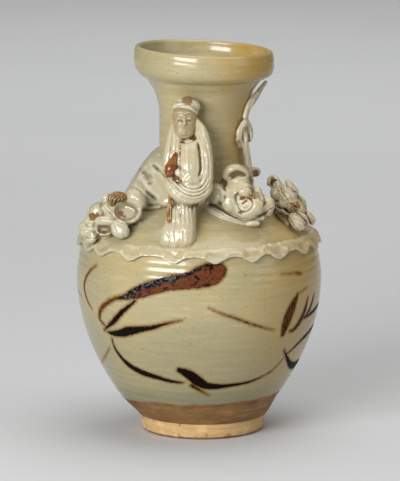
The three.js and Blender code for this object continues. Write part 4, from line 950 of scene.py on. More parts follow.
def ornament(vessel):
    """The shapes that each laid-on node is made of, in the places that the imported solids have."""
    seats = Seats(vessel)
    seat, on_neck, in_figure = seats.seat, seats.on_neck, seats.in_figure
    cap_axis = in_figure(2.6, -2.4, 11) - seats.root

    def maker(locate, facing=None):
        """A function that rolls a piece through points: what locate needs, a half width and a half
        thickness."""
        def rolled(*points, **given):
            *places, wide, thick = zip(*points)
            return roll([locate(*place) for place in zip(*places)], wide, thick, facing, **given)

        return rolled

    limb, ribbon = maker(in_figure, lambda p: np.broadcast_to(seats.out, p.shape)), maker(on_neck, outward)
    form, laid = maker(seats.seen, front_out), maker(seats.on_dome)

    return {
        "figure_head": [
            limb((-1.3, 3.6, 68.4, 5, 3.8), (-1.3, 2.9, 72.6, 7, 5.5), (-1.2, 1.4, 78, 7.9, 6.8),
                 (-1.1, 0.2, 86, 8.1, 7.4), (-1, 0, 92, 7.4, 7)),
            limb((-1.2, 6.6, 84.6, 0.8, 0.9), (-1.2, 7.6, 81, 1.1, 1.3), (-1.2, 8.5, 77, 1.8, 1.6)),
            limb((-6.4, 4.8, 85, 0.7, 0.9), (-4, 6.7, 86, 1, 0.9), (-1.2, 7, 85.2, 0.9, 0.9),
                 (1.6, 6.7, 86, 1, 0.9), (4, 4.8, 85, 0.7, 0.9)),
            limb((-6.4, 5, 81.8, 0.6, 0.6), (-4.4, 6.6, 82, 1.2, 1.2), (-2.6, 6.6, 81.8, 0.6, 0.6)),
            limb((0.2, 6.6, 81.8, 0.6, 0.6), (2, 6.6, 82, 1.2, 1.2), (4, 5, 81.8, 0.6, 0.6)),
            limb((-4, 6, 74, 0.5, 0.7), (-1.2, 7.5, 73.5, 0.8, 1), (1.6, 6, 74, 0.5, 0.7)),
            limb((-3.4, 5.8, 72.2, 0.5, 0.7), (-1.2, 7.2, 71.7, 0.9, 1.1), (1, 5.8, 72.2, 0.5, 0.7)),
            limb((-8.9, 0.4, 84, 1, 1.2), (-9.2, 0.6, 81, 1.3, 1.7), (-8.4, 0.8, 78, 0.8, 1)),
            limb((6.7, 0.4, 84, 1, 1.2), (7, 0.6, 81, 1.3, 1.7), (6.2, 0.8, 78, 0.8, 1)),
        ],
        "figure_cap_brim": [band(in_figure(-0.6, 0, 88.6), cap_axis, 8.6, 3, 1.7)],
        "figure_cap": [
            limb((-0.6, 0, 86.8, 8.2, 8), (1.4, -0.6, 92, 8.9, 8.6), (2.6, -1, 97.8, 6.8, 6.4), full=0.9),
        ],
        "figure_skirt": [
            limb((-1, -0.5, -8, 7.6, 7.4), (-1, 0, 12, 7.8, 6.6), (-1, 0.5, 32, 7.6, 6), full=0.8),
            limb((-0.8, 2.6, 30, 5.6, 4.4), (-0.2, 3.4, 16, 5.4, 4.6), (-0.3, 4.4, 5, 6.4, 5.6),
                 (-0.4, 4.4, -4, 5.8, 5)),
            limb((-6, 2, 24, 4.4, 3.6), (-6.6, 2.8, 12, 5, 4.2), (-7.2, 3.4, 2, 5.4, 4.8), (-7.2, 3.4, -5, 5, 4.6)),
        ],
        "figure_robe": [
            limb((1, -1, 24, 10, 5.4), (2, -1.8, 42, 14.6, 7), (1.6, -2, 58, 14, 6.6), (0.4, -1.8, 69, 10.2, 5.2),
                 (-0.4, -1.6, 76, 5, 3.6), full=0.9),
            limb((1.6, 3, 30, 10, 4.6), (1.8, 2.6, 44, 12.6, 5.6), (1.6, 1.8, 58, 11.4, 5), (0.8, 0.6, 68, 6, 3.8),
                 full=0.8),
        ],
        "figure_chest_fold": [
            limb((1.2, 1.2, 68, 4.6, 2.6), (1.8, 3.8, 63.6, 6.6, 3.8), (2.4, 5.6, 57, 7.6, 4.6),
                 (2.6, 6.4, 46, 8, 4.6), (2.8, 7, 36, 7.2, 4), full=0.9),
        ],
        "figure_right_sleeve": [
            limb((5.6, -0.6, 83, 1.8, 2), (9.8, 1, 75, 4.4, 4.4), (11.6, 2.6, 62, 5.7, 5.6), (12.2, 3.6, 50, 6, 6),
                 (11.4, 4.4, 39, 6, 5.8), (7.4, 5.6, 32.6, 4.8, 4.4), full=0.9),
        ],
        "figure_hand": [
            limb((-1.6, 8.4, 43.6, 2.8, 1.9), (-4.4, 9.4, 45, 2.7, 1.8), (-7, 9.4, 47.4, 1.6, 1.3)),
        ],
        "figure_gourd": [
            limb((-6, 5, 60, 1.9, 1.8), (-7.4, 5.8, 55, 2.7, 2.5), (-9.8, 6.4, 49.6, 4.3, 3.9),
                 (-10.4, 6.2, 42.6, 3.6, 3.2)),
        ],
        "figure_lapel": [
            limb((-7, 0, 82, 2.2, 2.2), (-8.8, 1.6, 71, 3.8, 3.3), (-11, 2.6, 58, 4, 3.5),
                 (-12.6, 2.4, 46, 3.2, 3)),
            limb((-5.2, 2.4, 73, 2, 2), (-6, 3.8, 66, 3, 2.8), (-6.6, 4.2, 58, 3, 2.8), (-7.6, 4, 48, 2.6, 2.4)),
        ],
        "figure_sash": [
            limb((-12.4, 2.2, 43, 3.2, 2.8), (-9.4, 5, 37, 5.2, 4), (-3.4, 6.8, 32.6, 6.8, 4.6),
                 (4, 7.2, 31.8, 7.2, 4.8), (10.4, 5.4, 35, 6.6, 4.4), (14.2, 2.6, 43, 4.2, 3.4)),
        ],
        "figure_tassel": [
            limb((-10.2, 4.8, 33, 1.3, 1.3), (-10.8, 5.6, 24, 1.5, 1.3), (-11.4, 5.6, 13.2, 2.1, 1.7)),
        ],
        "figure_side_panel": [
            limb((-8.8, 1, 24, 2.8, 2.6), (-9.8, 2, 14, 4, 3.6), (-11.4, 2.8, 4, 5.6, 4.6),
                 (-11.8, 2.8, -4, 5.6, 4.6)),
        ],
        "dragon_eye": [
            form((244.2, 209.6, 55, 5, 3.2), (244, 203.6, 56, 6, 4), (243.8, 198, 54, 4.8, 3)),
        ],
        "dragon_head": [
            lump(seat(35, 0.22, 9), (13.5, 10, 12), rise=0.8),
            lump(seat(43, 0.42, 11), (9, 7, 7.5), rise=0.8),
            form((221, 196, 41, 6.6, 6.6), (231, 199, 46, 9, 8), (241, 203, 50, 10, 9.4),
                 (256, 204.6, 52, 9.6, 9.6), (266.6, 204, 48, 6.8, 7)),
            form((227.6, 184.6, 44, 3.9, 4), (238, 182.4, 48, 4.6, 4.8), (249, 180.8, 45.4, 3.6, 3.4)),
            form((230, 191, 47, 5, 5.4), (241, 190, 51, 5.6, 6), (253, 192, 50.6, 5, 5.4)),
        ],
        "dragon_crest": [
            form((227.4, 184, 43, 2.4, 3.4), (226.6, 175, 44, 3, 4.4), (230.6, 169.4, 45, 3.2, 5),
                 (237, 168, 45, 3, 5), (243.6, 171, 44.4, 2.6, 4), (248, 177, 44, 1.8, 3)),
        ],
        "dragon_brow": [
            form((236.8, 197, 52, 1.8, 2.4), (238.6, 192.8, 54, 3, 3.2), (244.4, 191.6, 56, 3.8, 3.8),
                 (251.4, 193.6, 55, 3.2, 3)),
        ],
        "dragon_horn": [
            form((257.4, 199, 52.4, 3.6, 3.4), (257.2, 193, 53.4, 3.5, 3.2), (256.8, 187.4, 51, 2.3, 2.3)),
        ],
        "dragon_snout": [
            form((241.6, 215, 52, 3.4, 4), (248.6, 212.4, 56.4, 5.2, 5), (255.6, 206.4, 59, 6.4, 5.6),
                 (260.6, 200, 56.4, 5, 4.6)),
            form((263.8, 211.4, 52.6, 4.2, 4.6), (267.4, 204.6, 54, 5.4, 5.2), (265.6, 198, 52, 4.4, 4.4)),
        ],
        "dragon_lower_lip": [
            form((255, 219.4, 53, 1.4, 2.6), (262, 217.6, 53.4, 2, 3.2), (268.6, 213.6, 51.6, 2, 3.2),
                 (272, 210.4, 48.6, 1.4, 2.4)),
        ],
        "dragon_cheek": [
            form((230.4, 187, 47, 4.2, 4.4), (229.6, 196, 51.4, 5.3, 5.2), (230.8, 205, 53.6, 5.8, 5.2),
                 (233.4, 211.4, 52.6, 3.8, 4)),
        ],
        "dragon_mane": [
            form((219.4, 185, 42, 4, 4), (217.8, 191, 46, 5.7, 4.8), (218, 197.8, 48, 5.8, 5),
                 (220.6, 203.4, 48.4, 3.8, 3.8)),
        ],
        "dragon_pearl": [
            form((248, 223.6, 48.6, 2.2, 4.6), (253, 222.8, 50.6, 3, 5.4), (258.4, 223.2, 49, 2.4, 4.6)),
        ],
        "dragon_upper_whisker": [
            laid((209.4, 201.4, 1.6, 1.4, 1.6), (219, 208, 3, 2.5, 2.5), (229, 214.6, 3.2, 2.4, 2.6),
                 (239, 219.4, 2.4, 1.9, 2), (247, 223.4, 1, 0.9, 1.2)),
        ],
        "dragon_lower_whisker": [
            laid((203.4, 206, 0.4, 1.6, 1.2), (213, 212.4, 1.2, 3, 2.2), (225, 218.6, 1.6, 2.8, 2.3),
                 (236, 222.6, 1.2, 1.8, 1.7), (246, 225, 0.4, 0.9, 1)),
        ],
        "beast_flank": [flank(vessel)],
        "tail_fold": [
            ribbon((50.6, 38.4, 1.4, 1.7, 1.5), (46.6, 44.6, 2.4, 3.1, 2), (48.6, 51.2, 3, 3.1, 2.1),
                   (56.6, 55.2, 3.4, 2.6, 2.1), (63.6, 50.4, 4, 2.3, 1.9), (64.4, 45.6, 4.4, 2.3, 1.8),
                   (63.4, 41, 4.2, 1.4, 1.3)),
        ],
        "tail_strand": [
            ribbon((54, 50, 2.8, 1.6, 1.6), (53, 42.4, 4.4, 2.5, 2.1), (55, 35.4, 4.8, 2.8, 2.3),
                   (57, 28, 5.2, 2.6, 2.1), (58, 20.4, 5.6, 2, 1.8), (59, 13.6, 6, 1.1, 1.1)),
        ],
        "tail_leaf": [
            ribbon((90, 81, 4.8, 1.2, 1.3), (87.6, 76.4, 4.2, 2, 1.6), (78.6, 71.2, 3, 3.1, 2.1),
                   (66.4, 65.6, 2, 3.3, 2.2), (60.6, 60, 1.8, 2.6, 1.9), (58.4, 56.4, 1.8, 1.8, 1.6)),
        ],
        "tail_knob": [roll([on_neck(86, 19, -2), on_neck(88, 18.6, 7.2)], [3.4, 3.4], [3.4, 3.4], facing=upward)],
        "left_beast_jaws": [cup(seats.seen(126.4, 211.2, 47.4), (-0.08, -0.86, 0.5), 10.6, 5.8, 2.8, 0.86)],
        "left_beast_lips": [cup(seats.seen(104, 228.4, 48), (-0.3, -0.87, 0.3), 7, 4.4, 2.2, 0.72)],
        "left_beast_head": [
            lump(seat(-63, 0.5, 6), (14, 8, 9.4)),
            lump(seat(-70, 0.74, 5), (8, 6, 7)),
            form((86, 226, 33, 6.4, 5.6), (96, 222, 37, 7.6, 6), (108, 219, 41, 7.6, 5.4), (120, 213, 38, 6, 4.4)),
            form((90, 232, 33, 5, 5), (100, 233, 37, 6, 4.4), (113, 230, 44, 5.4, 5.2)),
            form((104.6, 206, 35, 4, 4), (98.4, 210.6, 37, 4.8, 4.6), (91, 215.4, 35.6, 3.8, 3.8)),
            form((103.6, 206, 40, 3.4, 3.2), (108.4, 210.4, 44, 4.2, 3.8), (112.4, 214.6, 47, 2.8, 3)),
            form((96, 221.4, 44, 2.6, 3), (105, 220.8, 49, 3.2, 3.6), (114.6, 222, 51, 2.8, 3.2)),
        ],
        "left_beast_crest": [
            form((113, 206.6, 46, 2.4, 2.6), (112.4, 200.6, 45, 3.6, 3.6), (116.4, 197, 44.4, 3.9, 4),
                 (121.8, 197.4, 44, 3.6, 3.6), (126.4, 200.6, 43, 2.2, 2.4)),
        ],
        "left_beast_crest_tip": [
            form((106.4, 205, 38, 3, 3.2), (106.4, 198.6, 38.6, 3.4, 3.4), (108.2, 193, 37, 2.3, 2.6)),
        ],
        "left_beast_ear": [
            form((127, 195.4, 38, 4.8, 4.2), (134.6, 197, 42, 6.2, 5.4), (139.6, 203, 44, 5.2, 5),
                 (140, 210, 45, 3, 3.4)),
        ],
        "left_beast_cheek": [
            form((103.4, 204.6, 30, 3.4, 3.6), (96, 209.6, 33, 4.4, 4.6), (88.6, 217, 32.6, 3.6, 3.8)),
        ],
        "left_beast_nose": [
            form((86.4, 222.6, 32, 4.8, 4.6), (86.4, 228.6, 35.6, 5.8, 5.4), (88.6, 234, 37.4, 4.6, 4.6)),
            form((91.6, 223.4, 37, 3.8, 3.4), (92.6, 229.4, 40, 4.8, 4.4), (94, 235, 42, 3.6, 3.6)),
            form((85, 226, 33, 4.4, 4.2), (88, 231.6, 38, 5.6, 5), (91.6, 236, 41, 4.2, 4)),
            form((86.4, 236.4, 38, 2.2, 2.4), (90, 240, 42, 2.8, 3), (95, 237.6, 46, 2.2, 2.4)),
        ],
        "left_beast_paw": [
            form((114, 224, 50, 4, 3.6), (118.4, 227.6, 54, 5.8, 4.8), (121.6, 233, 56, 6, 4.8),
                 (122.6, 239, 57, 4.8, 4)),
        ],
        "bird_body": [
            lump(seat(80, 0.48, 5), (10.5, 7.5, 11)),
            form((277, 193, 13, 3.6, 5), (284, 201, 18, 6, 7), (295, 208.6, 20, 6.4, 7), (303, 216, 19, 4.4, 5)),
        ],
        "bird_head": [
            form((268.2, 186, 15, 0.9, 1.4), (268.9, 180.6, 15.4, 1.3, 1.8), (270.8, 176.4, 15, 1.4, 2)),
            form((270.2, 176.2, 14, 1.3, 2), (274.4, 177.6, 14, 1.9, 2.6), (277, 181.6, 15, 2.3, 2.8),
                 (279, 186.4, 16.4, 2.6, 2.8), (281.4, 191, 18, 2.2, 2.4)),
            form((273.2, 183.4, 14, 1.3, 1.8), (274.2, 187.6, 16, 2.2, 2.4), (276.4, 191.4, 17.4, 2.2, 2.4)),
        ],
        "bird_breast": [
            form((273, 189, 17, 2.3, 2.6), (275.4, 194.6, 20, 3.6, 3.6), (279.4, 199.6, 21, 2.4, 2.6)),
            form((276.6, 203, 21, 2.2, 2.4), (282.6, 204.4, 24, 3.4, 3.4), (288.4, 207, 24, 2.4, 2.6)),
        ],
        "bird_near_feather": [
            form((282.4, 185.4, 15, 1.3, 1.5), (286, 190.6, 19.4, 3, 2.8), (291.4, 196.4, 21.4, 3.6, 3.2),
                 (297.6, 202.6, 20, 1.2, 1.5)),
            form((278.6, 189.6, 18, 1.6, 1.8), (283, 196, 22, 2.9, 2.8), (286.6, 201, 23, 3, 2.8),
                 (289.4, 206, 23, 1.6, 1.8)),
        ],
        "bird_tall_feather": [
            form((286.2, 179.4, 8, 1.3, 1.4), (289.4, 184.8, 11, 2.6, 2.2), (294, 190.6, 13, 2.8, 2.4),
                 (298, 196.6, 14, 1.4, 1.6)),
        ],
        "bird_far_feather": [
            form((297.6, 196.4, 11, 1.6, 2), (301, 200.6, 13, 2.7, 3), (303, 206.6, 14, 2.6, 3),
                 (304, 211.6, 14, 1.8, 2)),
        ],
        "bird_brown_feather": [
            form((289.4, 208, 23, 2.4, 2.4), (294.4, 206.6, 24.6, 3.6, 3), (299, 209.6, 22.4, 2.4, 2.4)),
        ],
        "bird_wing": [
            form((276, 208, 25, 0.9, 1.6), (281.6, 210.8, 28, 1.4, 2.2), (288, 215.2, 30, 1.3, 2)),
            form((289.4, 214.8, 29, 2, 2.4), (295, 219.8, 32, 4.1, 4), (300, 225.4, 33, 4.6, 4.4),
                 (302.6, 229.6, 32, 2.6, 2.8)),
            form((297, 213.6, 23, 2, 2.6), (303.6, 218.8, 26, 3, 3.4), (307.6, 225, 26.4, 2, 2.4)),
        ],
        "bird_tail": [
            form((302.4, 211.4, 17, 1.8, 2.2), (308, 215.6, 19, 2.6, 3), (311.8, 220.6, 20, 2.7, 3),
                 (312.4, 225.4, 20, 1.7, 2)),
        ],
        "bird_perch": [
            form((276, 210.4, 21, 2.2, 2.6), (284, 217, 26, 3, 3), (292, 224.6, 28, 3, 3)),
            laid((279, 213.6, 0.6, 1.4, 1.6), (287, 221, 0.8, 2, 1.8), (294, 228, 0.4, 1.6, 1.4)),
        ],
    }


def joined(shapes):
    """Shapes as one set of points and faces."""
    points, faces, start = [], [], 0
    for shape_points, shape_faces in shapes:
        points.append(shape_points)
        faces.append(shape_faces + start)
        start += len(shape_points)
    return np.vstack(points), np.vstack(faces)


def skin_mesh(name, points, faces):
    """A welded mesh, its faces outwards, from points in millimetres."""
    mesh = bpy.data.meshes.new(name)
    mesh.from_pydata((points * MILLIMETRE).tolist(), [], faces.tolist())
    build = bmesh.new()
    build.from_mesh(mesh)
    bmesh.ops.remove_doubles(build, verts=build.verts, dist=2e-7)
    bmesh.ops.recalc_face_normals(build, faces=build.faces)
    build.to_mesh(mesh)
    build.free()
    return mesh


def get_points(mesh):
    """The mesh's points in millimetres."""
    places = np.empty(len(mesh.vertices) * 3, np.float32)
    mesh.vertices.foreach_get("co", places)
    return places.reshape(-1, 3).astype(float) / MILLIMETRE


def set_points(mesh, points):
    mesh.vertices.foreach_set("co", (points * MILLIMETRE).astype(np.float32).ravel())
    mesh.update()


def get_normals(mesh):
    normals = np.empty(len(mesh.vertices) * 3, np.float32)
    mesh.vertex_normals.foreach_get("vector", normals)
    return normals.reshape(-1, 3).astype(float)


def neighbour_mean(mesh):
    """A function that gives each point the mean of its neighbours' values."""
    edges = np.empty(len(mesh.edges) * 2, np.int32)
    mesh.edges.foreach_get("vertices", edges)
    first, second = edges.reshape(-1, 2).T
    count = len(mesh.vertices)
    degree = np.bincount(edges, minlength=count)[:, None]

    def mean(values):
        total = np.stack([np.bincount(first, column[second], count) + np.bincount(second, column[first], count)
                          for column in values.T], 1)
        return total / np.maximum(degree, 1)

    return mean


def hollows(mesh, voxel=CLAY_FACE):
    """How deep in a hollow each point lies (above 0) or how far out on a ridge (below 0), and the
    same for narrow creases alone."""
    points, normals = get_points(mesh), get_normals(mesh)
    mean = neighbour_mean(mesh)
    smooth, depths = points, []
    for times in (12, 48):
        for _ in range(times):
            smooth = smooth * 0.4 + mean(smooth) * 0.6
        depths.append(((smooth - points) * normals).sum(1) * CLAY_FACE / voxel)
    near, far = depths
    # The finishes darken the clay by these fields: pooled glaze with painted shade in creases and hollows
    values = np.clip(np.stack([near / 0.4 * 0.5 + far / 1.6 * 0.5, near / 0.26], 1), -1, 1.5)
    for _ in range(4):
        values = values * 0.5 + mean(values) * 0.5
    return lambda places: {"hollow": values[:, 0], "crease": values[:, 1]}


def pressed(mesh, voxel):
    """The mesh as one closed skin of clay, with faces of an even size."""
    worked = bpy.data.objects.new("clay", mesh)
    bpy.context.collection.objects.link(worked)
    remesh = worked.modifiers.new("Press together", "REMESH")
    remesh.mode = "VOXEL"
    remesh.voxel_size = voxel * MILLIMETRE
    clay = bpy.data.meshes.new_from_object(worked.evaluated_get(bpy.context.evaluated_depsgraph_get()))
    bpy.data.objects.remove(worked)
    bpy.data.meshes.remove(mesh)
    return clay


def smoothed(mesh, times):
    """Draws each point halfway to the mean of its neighbours, so many times."""
    points, mean = get_points(mesh), neighbour_mean(mesh)
    for _ in range(times):
        points = points * 0.5 + mean(points) * 0.5
    set_points(mesh, points)


def fused(name, shapes, voxel, fill):
    """Shapes pressed together into one closed skin of clay. Clefts narrower than twice fill close up."""
    clay = pressed(skin_mesh(name, *joined(shapes)), voxel)
    smoothed(clay, 2)
    if fill:
        set_points(clay, get_points(clay) + fill * get_normals(clay))
        clay = pressed(clay, voxel)
        smoothed(clay, 3)
        set_points(clay, get_points(clay) - fill * get_normals(clay))
        smoothed(clay, 1)
    clay.name = name
    return clay


def front_view(points):
    """Where points stand in the front view's frame, from its upper left corner."""
    back, above = points[:, 1], points[:, 2] - AIM_HEIGHT
    away = AWAY + back * math.cos(PITCH) - above * math.sin(PITCH)
    up = back * math.sin(PITCH) + above * math.cos(PITCH)
    return FRAME / 2 + np.stack([points[:, 0] - AIM_ACROSS, -up], 1) * (FOCAL / away)[:, None]


def carve(mesh, lines):
    """Cuts creases into the clay, or raises ridges on it, along lines drawn on the front view. Each
    line comes with its half width and its depth in millimetres. Clay that faces away isn't cut."""
    least = 0.1
    points, normals = get_points(mesh), get_normals(mesh)
    seen, toward = front_view(points), -normals[:, 1]
    moved = np.zeros(len(points))
    for width, depth, line in lines:
        path, _ = smooth_path(line, 0.4)
        reach = 2 * PIXELS * width
        boxed = (seen > path.min(0) - reach) & (seen < path.max(0) + reach)
        near = np.flatnonzero((toward > least) & boxed.all(1))
        if len(near):
            gaps = np.linalg.norm(seen[near, None] - path[None], axis=2)
            share = gaps.argmin(1) / len(path)
            taper = smoothstep(share, -0.02, 0.12) * smoothstep(share, 1.02, 0.85)
            apart = gaps.min(1) / (PIXELS * width)
            cut = depth * taper * np.clip(1 - apart / 1.6, 0, 1) ** 1.6
            moved[near] -= cut * smoothstep(toward[near], least, least + 0.25)
    set_points(mesh, points + normals * moved[:, None])


def knead(mesh, amount, size, seed):
    """The small unevenness that fingers leave on clay."""
    points, normals = get_points(mesh), get_normals(mesh)
    turn = points * (2 * math.pi / size)
    wave = np.zeros(len(points))
    for k in range(1, 5):
        a, b, c = 0.7 * k + seed, 1.3 * k + 2 * seed, 2.1 * k + 3 * seed
        along = turn @ unit((math.sin(a), math.cos(b), math.sin(c)))
        wave += np.sin(along * (0.8 + 0.27 * k) + 2.3 * k * (1 + seed)) / 4
    set_points(mesh, points + normals * (wave * amount)[:, None])


def seat_on(vessel, mesh):
    """Keeps clay that is laid on the vessel from showing inside it: none lies deeper in it than sink."""
    sink, root = 1.6, vessel.neck_root_height
    points = get_points(mesh)
    height = points[:, 2].copy()
    x = points[:, 0] - vessel.neck_offset * smoothstep(height, root - 12, root + 4)
    radius = np.hypot(x, points[:, 1])
    least = vessel.radius(height) - sink
    over_dome = height < root + 2
    floor = np.where(radius < vessel.edge_radius, vessel.dome_height(radius), vessel.edge_height) - sink
    low = over_dome & (height < floor) & (radius < vessel.edge_radius - 0.5)
    points[low, 2] = floor[low]
    least = np.where(over_dome, 0, least)
    grow = np.where(radius < least, least / np.maximum(radius, 1), 1)
    points[:, 0] += x * (grow - 1)
    points[:, 1] *= grow
    set_points(mesh, points)


def parts(group, names):
    """The node names of a group's parts."""
    return [f"{group}_{name}" for name in names.split()]


class OrnamentPiece(UrnPiece):
    """What the operators of laid-on pieces share."""

    def lay(self, vessel, name, nodes, finish, voxel=CLAY_FACE, fill=0.9, lines=(), marks=(),
            kneading=(0.2, 8.0), slot="ornament_glaze", soft=0):
        """Models the solids of those nodes as one piece of clay with faces of that size, or as one soft
        roll that is smoothed so many times. The clay is kneaded, cut along its lines and stained at its
        marks: a place in the front view, a reach, how much iron it holds and how red that is."""
        shapes = ornament(vessel)
        made = [shape for node in nodes for shape in shapes[node]]
        clay = skin_mesh(name, *made[0]) if soft else fused(name, made, voxel, fill)
        smoothed(clay, soft)
        knead(clay, *kneading, seed=len(name) * 0.37)
        knead(clay, kneading[0] * 0.35, kneading[1] * 0.3, seed=len(name) * 0.61)
        carve(clay, lines)
        seat_on(vessel, clay)
        crease = hollows(clay, voxel)

        def fields(places):
            seen = front_view(places)
            iron, red = np.zeros((2, len(places)))
            for across, down, reach, amount, redness in marks:
                apart = np.linalg.norm(seen - (across, down), axis=1)
                near = amount * (1 - smoothstep(apart, 0.4 * reach, 1.3 * reach))
                red = np.where(near > iron, redness, red)
                iron = np.maximum(iron, near)
            return {**crease(places), "iron": iron * (places[:, 1] < 8), "red": red}

        dress(name, clay, finish, nodes, fields, sharp=75)


class URN_OT_figure(OrnamentPiece, bpy.types.Operator):
    """Model the standing figure with its robe, cap and gourd"""

    bl_idname = "urn.figure"
    bl_label = "Figure"

    def build(self, vessel, colours):
        # Creases darkened more strongly here: painted shadow in the robe's folds, together with pooled glaze
        glazed = ornament_glaze(colours, "figure_glaze", 1.35)
        folds = [
            (0.8, 0.6, [(179, 141.6), (186, 142.6), (192.6, 141), (197, 137)]),
            (0.9, 1.4, [(196.6, 140), (199, 150), (200.2, 160), (200.4, 170), (198.6, 178)]),
            (0.7, 0.5, [(180.6, 144), (179.8, 155), (180, 168), (182, 178)]),
            (0.6, 0.8, [(173, 131), (171.5, 142), (170, 155), (168.4, 165)]),
            (0.6, 0.8, [(177, 137), (175.8, 146), (175.4, 156)]),
            (0.7, 0.6, [(197.4, 126), (203, 136), (207, 148), (209, 160), (209.6, 172), (208.6, 184)]),
            (0.7, 0.6, [(203.6, 152), (205, 163), (203.6, 174), (199, 183)]),
            (0.7, 1.3, [(178, 180), (187, 187), (196, 188.6), (203.4, 185), (208.6, 176)]),
            (0.6, 1.0, [(175, 181), (185, 190), (195, 192.4), (204, 189.4), (210.4, 180)]),
            (0.7, 1.3, [(171.4, 180.6), (180, 190.6), (190, 196), (201, 195), (210, 187)]),
            (0.6, 0.7, [(168.6, 178), (176, 189), (186, 198), (197, 199.6), (206.6, 195.4)]),
            (0.6, 0.6, [(167, 176), (172, 186.4), (180, 196), (190, 201.6)]),
            (0.7, -0.5, [(186.4, 144), (187, 155), (187.6, 166), (188.6, 176)]),
            (0.6, 0.5, [(176, 206), (175.6, 214), (176.2, 224)]),
            (0.7, 0.9, [(181, 205.6), (180.2, 214), (181, 228)]),
            (0.6, 0.7, [(185.4, 206), (185, 213), (186.4, 225)]),
            (0.6, 0.7, [(189, 206), (189.6, 214), (190.6, 223)]),
            (0.6, 0.6, [(192.8, 206), (193.2, 212)]),
            (0.7, 0.4, [(175.6, 221), (174.6, 231), (175.6, 244)]),
            (0.8, 0.7, [(182.4, 230), (183.4, 238), (182.6, 245)]),
        ]
        # The two marks at 177.6 and 181 across are painted shade under the hand and gourd; the third is a stain
        stains = [(177.6, 178.6, 2.6, 1, 0.3), (181, 181.4, 2.2, 1, 0), (169.6, 221.6, 3, 0.8, 0)]
        self.lay(vessel, "robe", parts("figure", "skirt robe chest_fold right_sleeve hand lapel sash side_panel"),
                 glazed, fill=2.0, lines=folds, marks=stains)
        features = [(0.7, 0.7, [(177, 121.6), (180, 120.6), (182.8, 121.8)]),
                    (0.7, 0.7, [(186.6, 121.8), (189.6, 120.6), (192.2, 121.6)]),
                    (0.5, 0.5, [(180.8, 135.4), (184.6, 136), (188.4, 135.4)])]
        # The face's heavy iron wash is mostly painted shade under the cap's brim, with a thin wash of iron
        self.lay(vessel, "head", ["figure_head"], ornament_glaze(colours, "face_glaze", 1.2, 0.15, 0.8), 0.3,
                 fill=0.0, kneading=(0.06, 7), lines=features)
        rolls = [(0.7, 0.9, [(176, 107.5), (184, 104.6), (192, 106), (199, 112)]),
                 (0.6, 0.5, [(184, 98), (190, 100), (196, 106)])]
        stains = [(188, 99.6, 7, 1, 0.3), (194, 98, 4, 0.8, 0.2)]
        self.lay(vessel, "cap", ["figure_cap", "figure_cap_brim"], glazed, 0.36, fill=0.5, lines=rolls,
                 marks=stains)
        red = iron_glaze(colours, "iron_red_glaze", colours.lacquer, 0.21)
        self.lay(vessel, "gourd", ["figure_gourd"], red, 0.36, slot="iron_red")
        brown = iron_glaze(colours, "iron_brown_glaze", colours.ochre, 0.2)
        strands = [(0.5, 0.7, [(168, 202), (167.6, 212), (167.4, 222)]),
                   (0.5, 0.6, [(170, 204), (169.6, 213), (170, 223)])]
        self.lay(vessel, "tassel", ["figure_tassel"], brown, 0.36, slot="iron_brown", lines=strands)


class URN_OT_dragon(OrnamentPiece, bpy.types.Operator):
    """Model the beast's head on the right, with its rolled eye, crest and whiskers"""

    bl_idname = "urn.dragon"
    bl_label = "Beast's head"

    def build(self, vessel, colours):
        glazed = ornament_glaze(colours, "dragon_glaze")
        creases = [
            (0.8, 1.7, [(237.6, 191.6), (235.7, 196), (235.9, 201.6), (237.9, 207), (240.4, 212.4)]),
            (0.8, 1.6, [(239.6, 199), (246.4, 197.5), (251, 199.6), (252.5, 203.6), (250.8, 208), (246.6, 211.2),
                        (240.6, 212.6)]),
            (1.3, 1.6, [(238.6, 214.6), (241.6, 211.8)]),
            (0.9, 2.6, [(241.9, 204.9), (243.2, 202.8), (246.8, 199.6)]),
            (0.5, 0.6, [(240, 201), (239.8, 205), (243, 208), (247.6, 206.4), (249.2, 202.6)]),
            (0.7, 1.0, [(224.8, 186), (224.4, 191), (223.4, 197), (222, 204)]),
            (1.1, 2.2, [(224.5, 186.8), (224, 194.2)]),
            (0.7, 0.9, [(264, 195.2), (265.2, 200.6), (264, 207.6)]),
            (0.9, 2.0, [(254.6, 218.4), (262, 215.6), (269, 211.4), (274.4, 207.4)]),
            (0.8, 1.2, [(228, 214), (238, 218), (247, 221.4)]),
            (0.6, 0.8, [(252.8, 186.6), (253.4, 192), (254, 196.6)]),
            (0.6, 0.7, [(240, 187.6), (247, 187), (253, 188)]),
            (0.7, -0.6, [(231, 181.8), (240, 179.2), (249, 176.8)]),
            (0.6, 0.6, [(259.6, 201), (261.6, 196.6)]),
            (0.7, 0.9, [(243, 219.6), (252, 219), (262, 221.4)]),
        ]
        # The mark under the lower lip, at 266.6 across, is painted shade; the others are stains
        stains = [(256, 196, 4.8, 0.8, 0.15), (252, 198.6, 3.6, 0.55, 0), (242.4, 198.4, 4, 0.7, 0),
                  (238.6, 194, 2.6, 0.6, 0.1), (224.8, 197, 3, 0.7, 0.7), (266.6, 218.4, 3.6, 0.8, 0.3),
                  (261.6, 201, 2.4, 0.5, 0), (269, 207, 2.6, 0.35, 0)]
        self.lay(vessel, "dragon_face", parts("dragon", "head eye crest brow horn snout lower_lip cheek mane"),
                 glazed, fill=2.4, lines=creases, marks=stains)
        strands = [(0.6, 0.9, [(209, 205), (217, 210.4), (227, 216.6), (238, 221.4), (246, 224)]),
                   (0.5, 0.6, [(207, 209), (217, 214.6), (228, 220.4), (236, 223.6)]),
                   (0.5, 0.5, [(213, 203.6), (222, 209.6), (231, 214.6)])]
        self.lay(vessel, "dragon_whiskers", parts("dragon", "upper_whisker lower_whisker"), glazed, 0.36, fill=1.0,
                 kneading=(0.12, 6), lines=strands)
        self.lay(vessel, "dragon_pearl", ["dragon_pearl"], glazed, 0.36, fill=0.0, kneading=(0.12, 5))


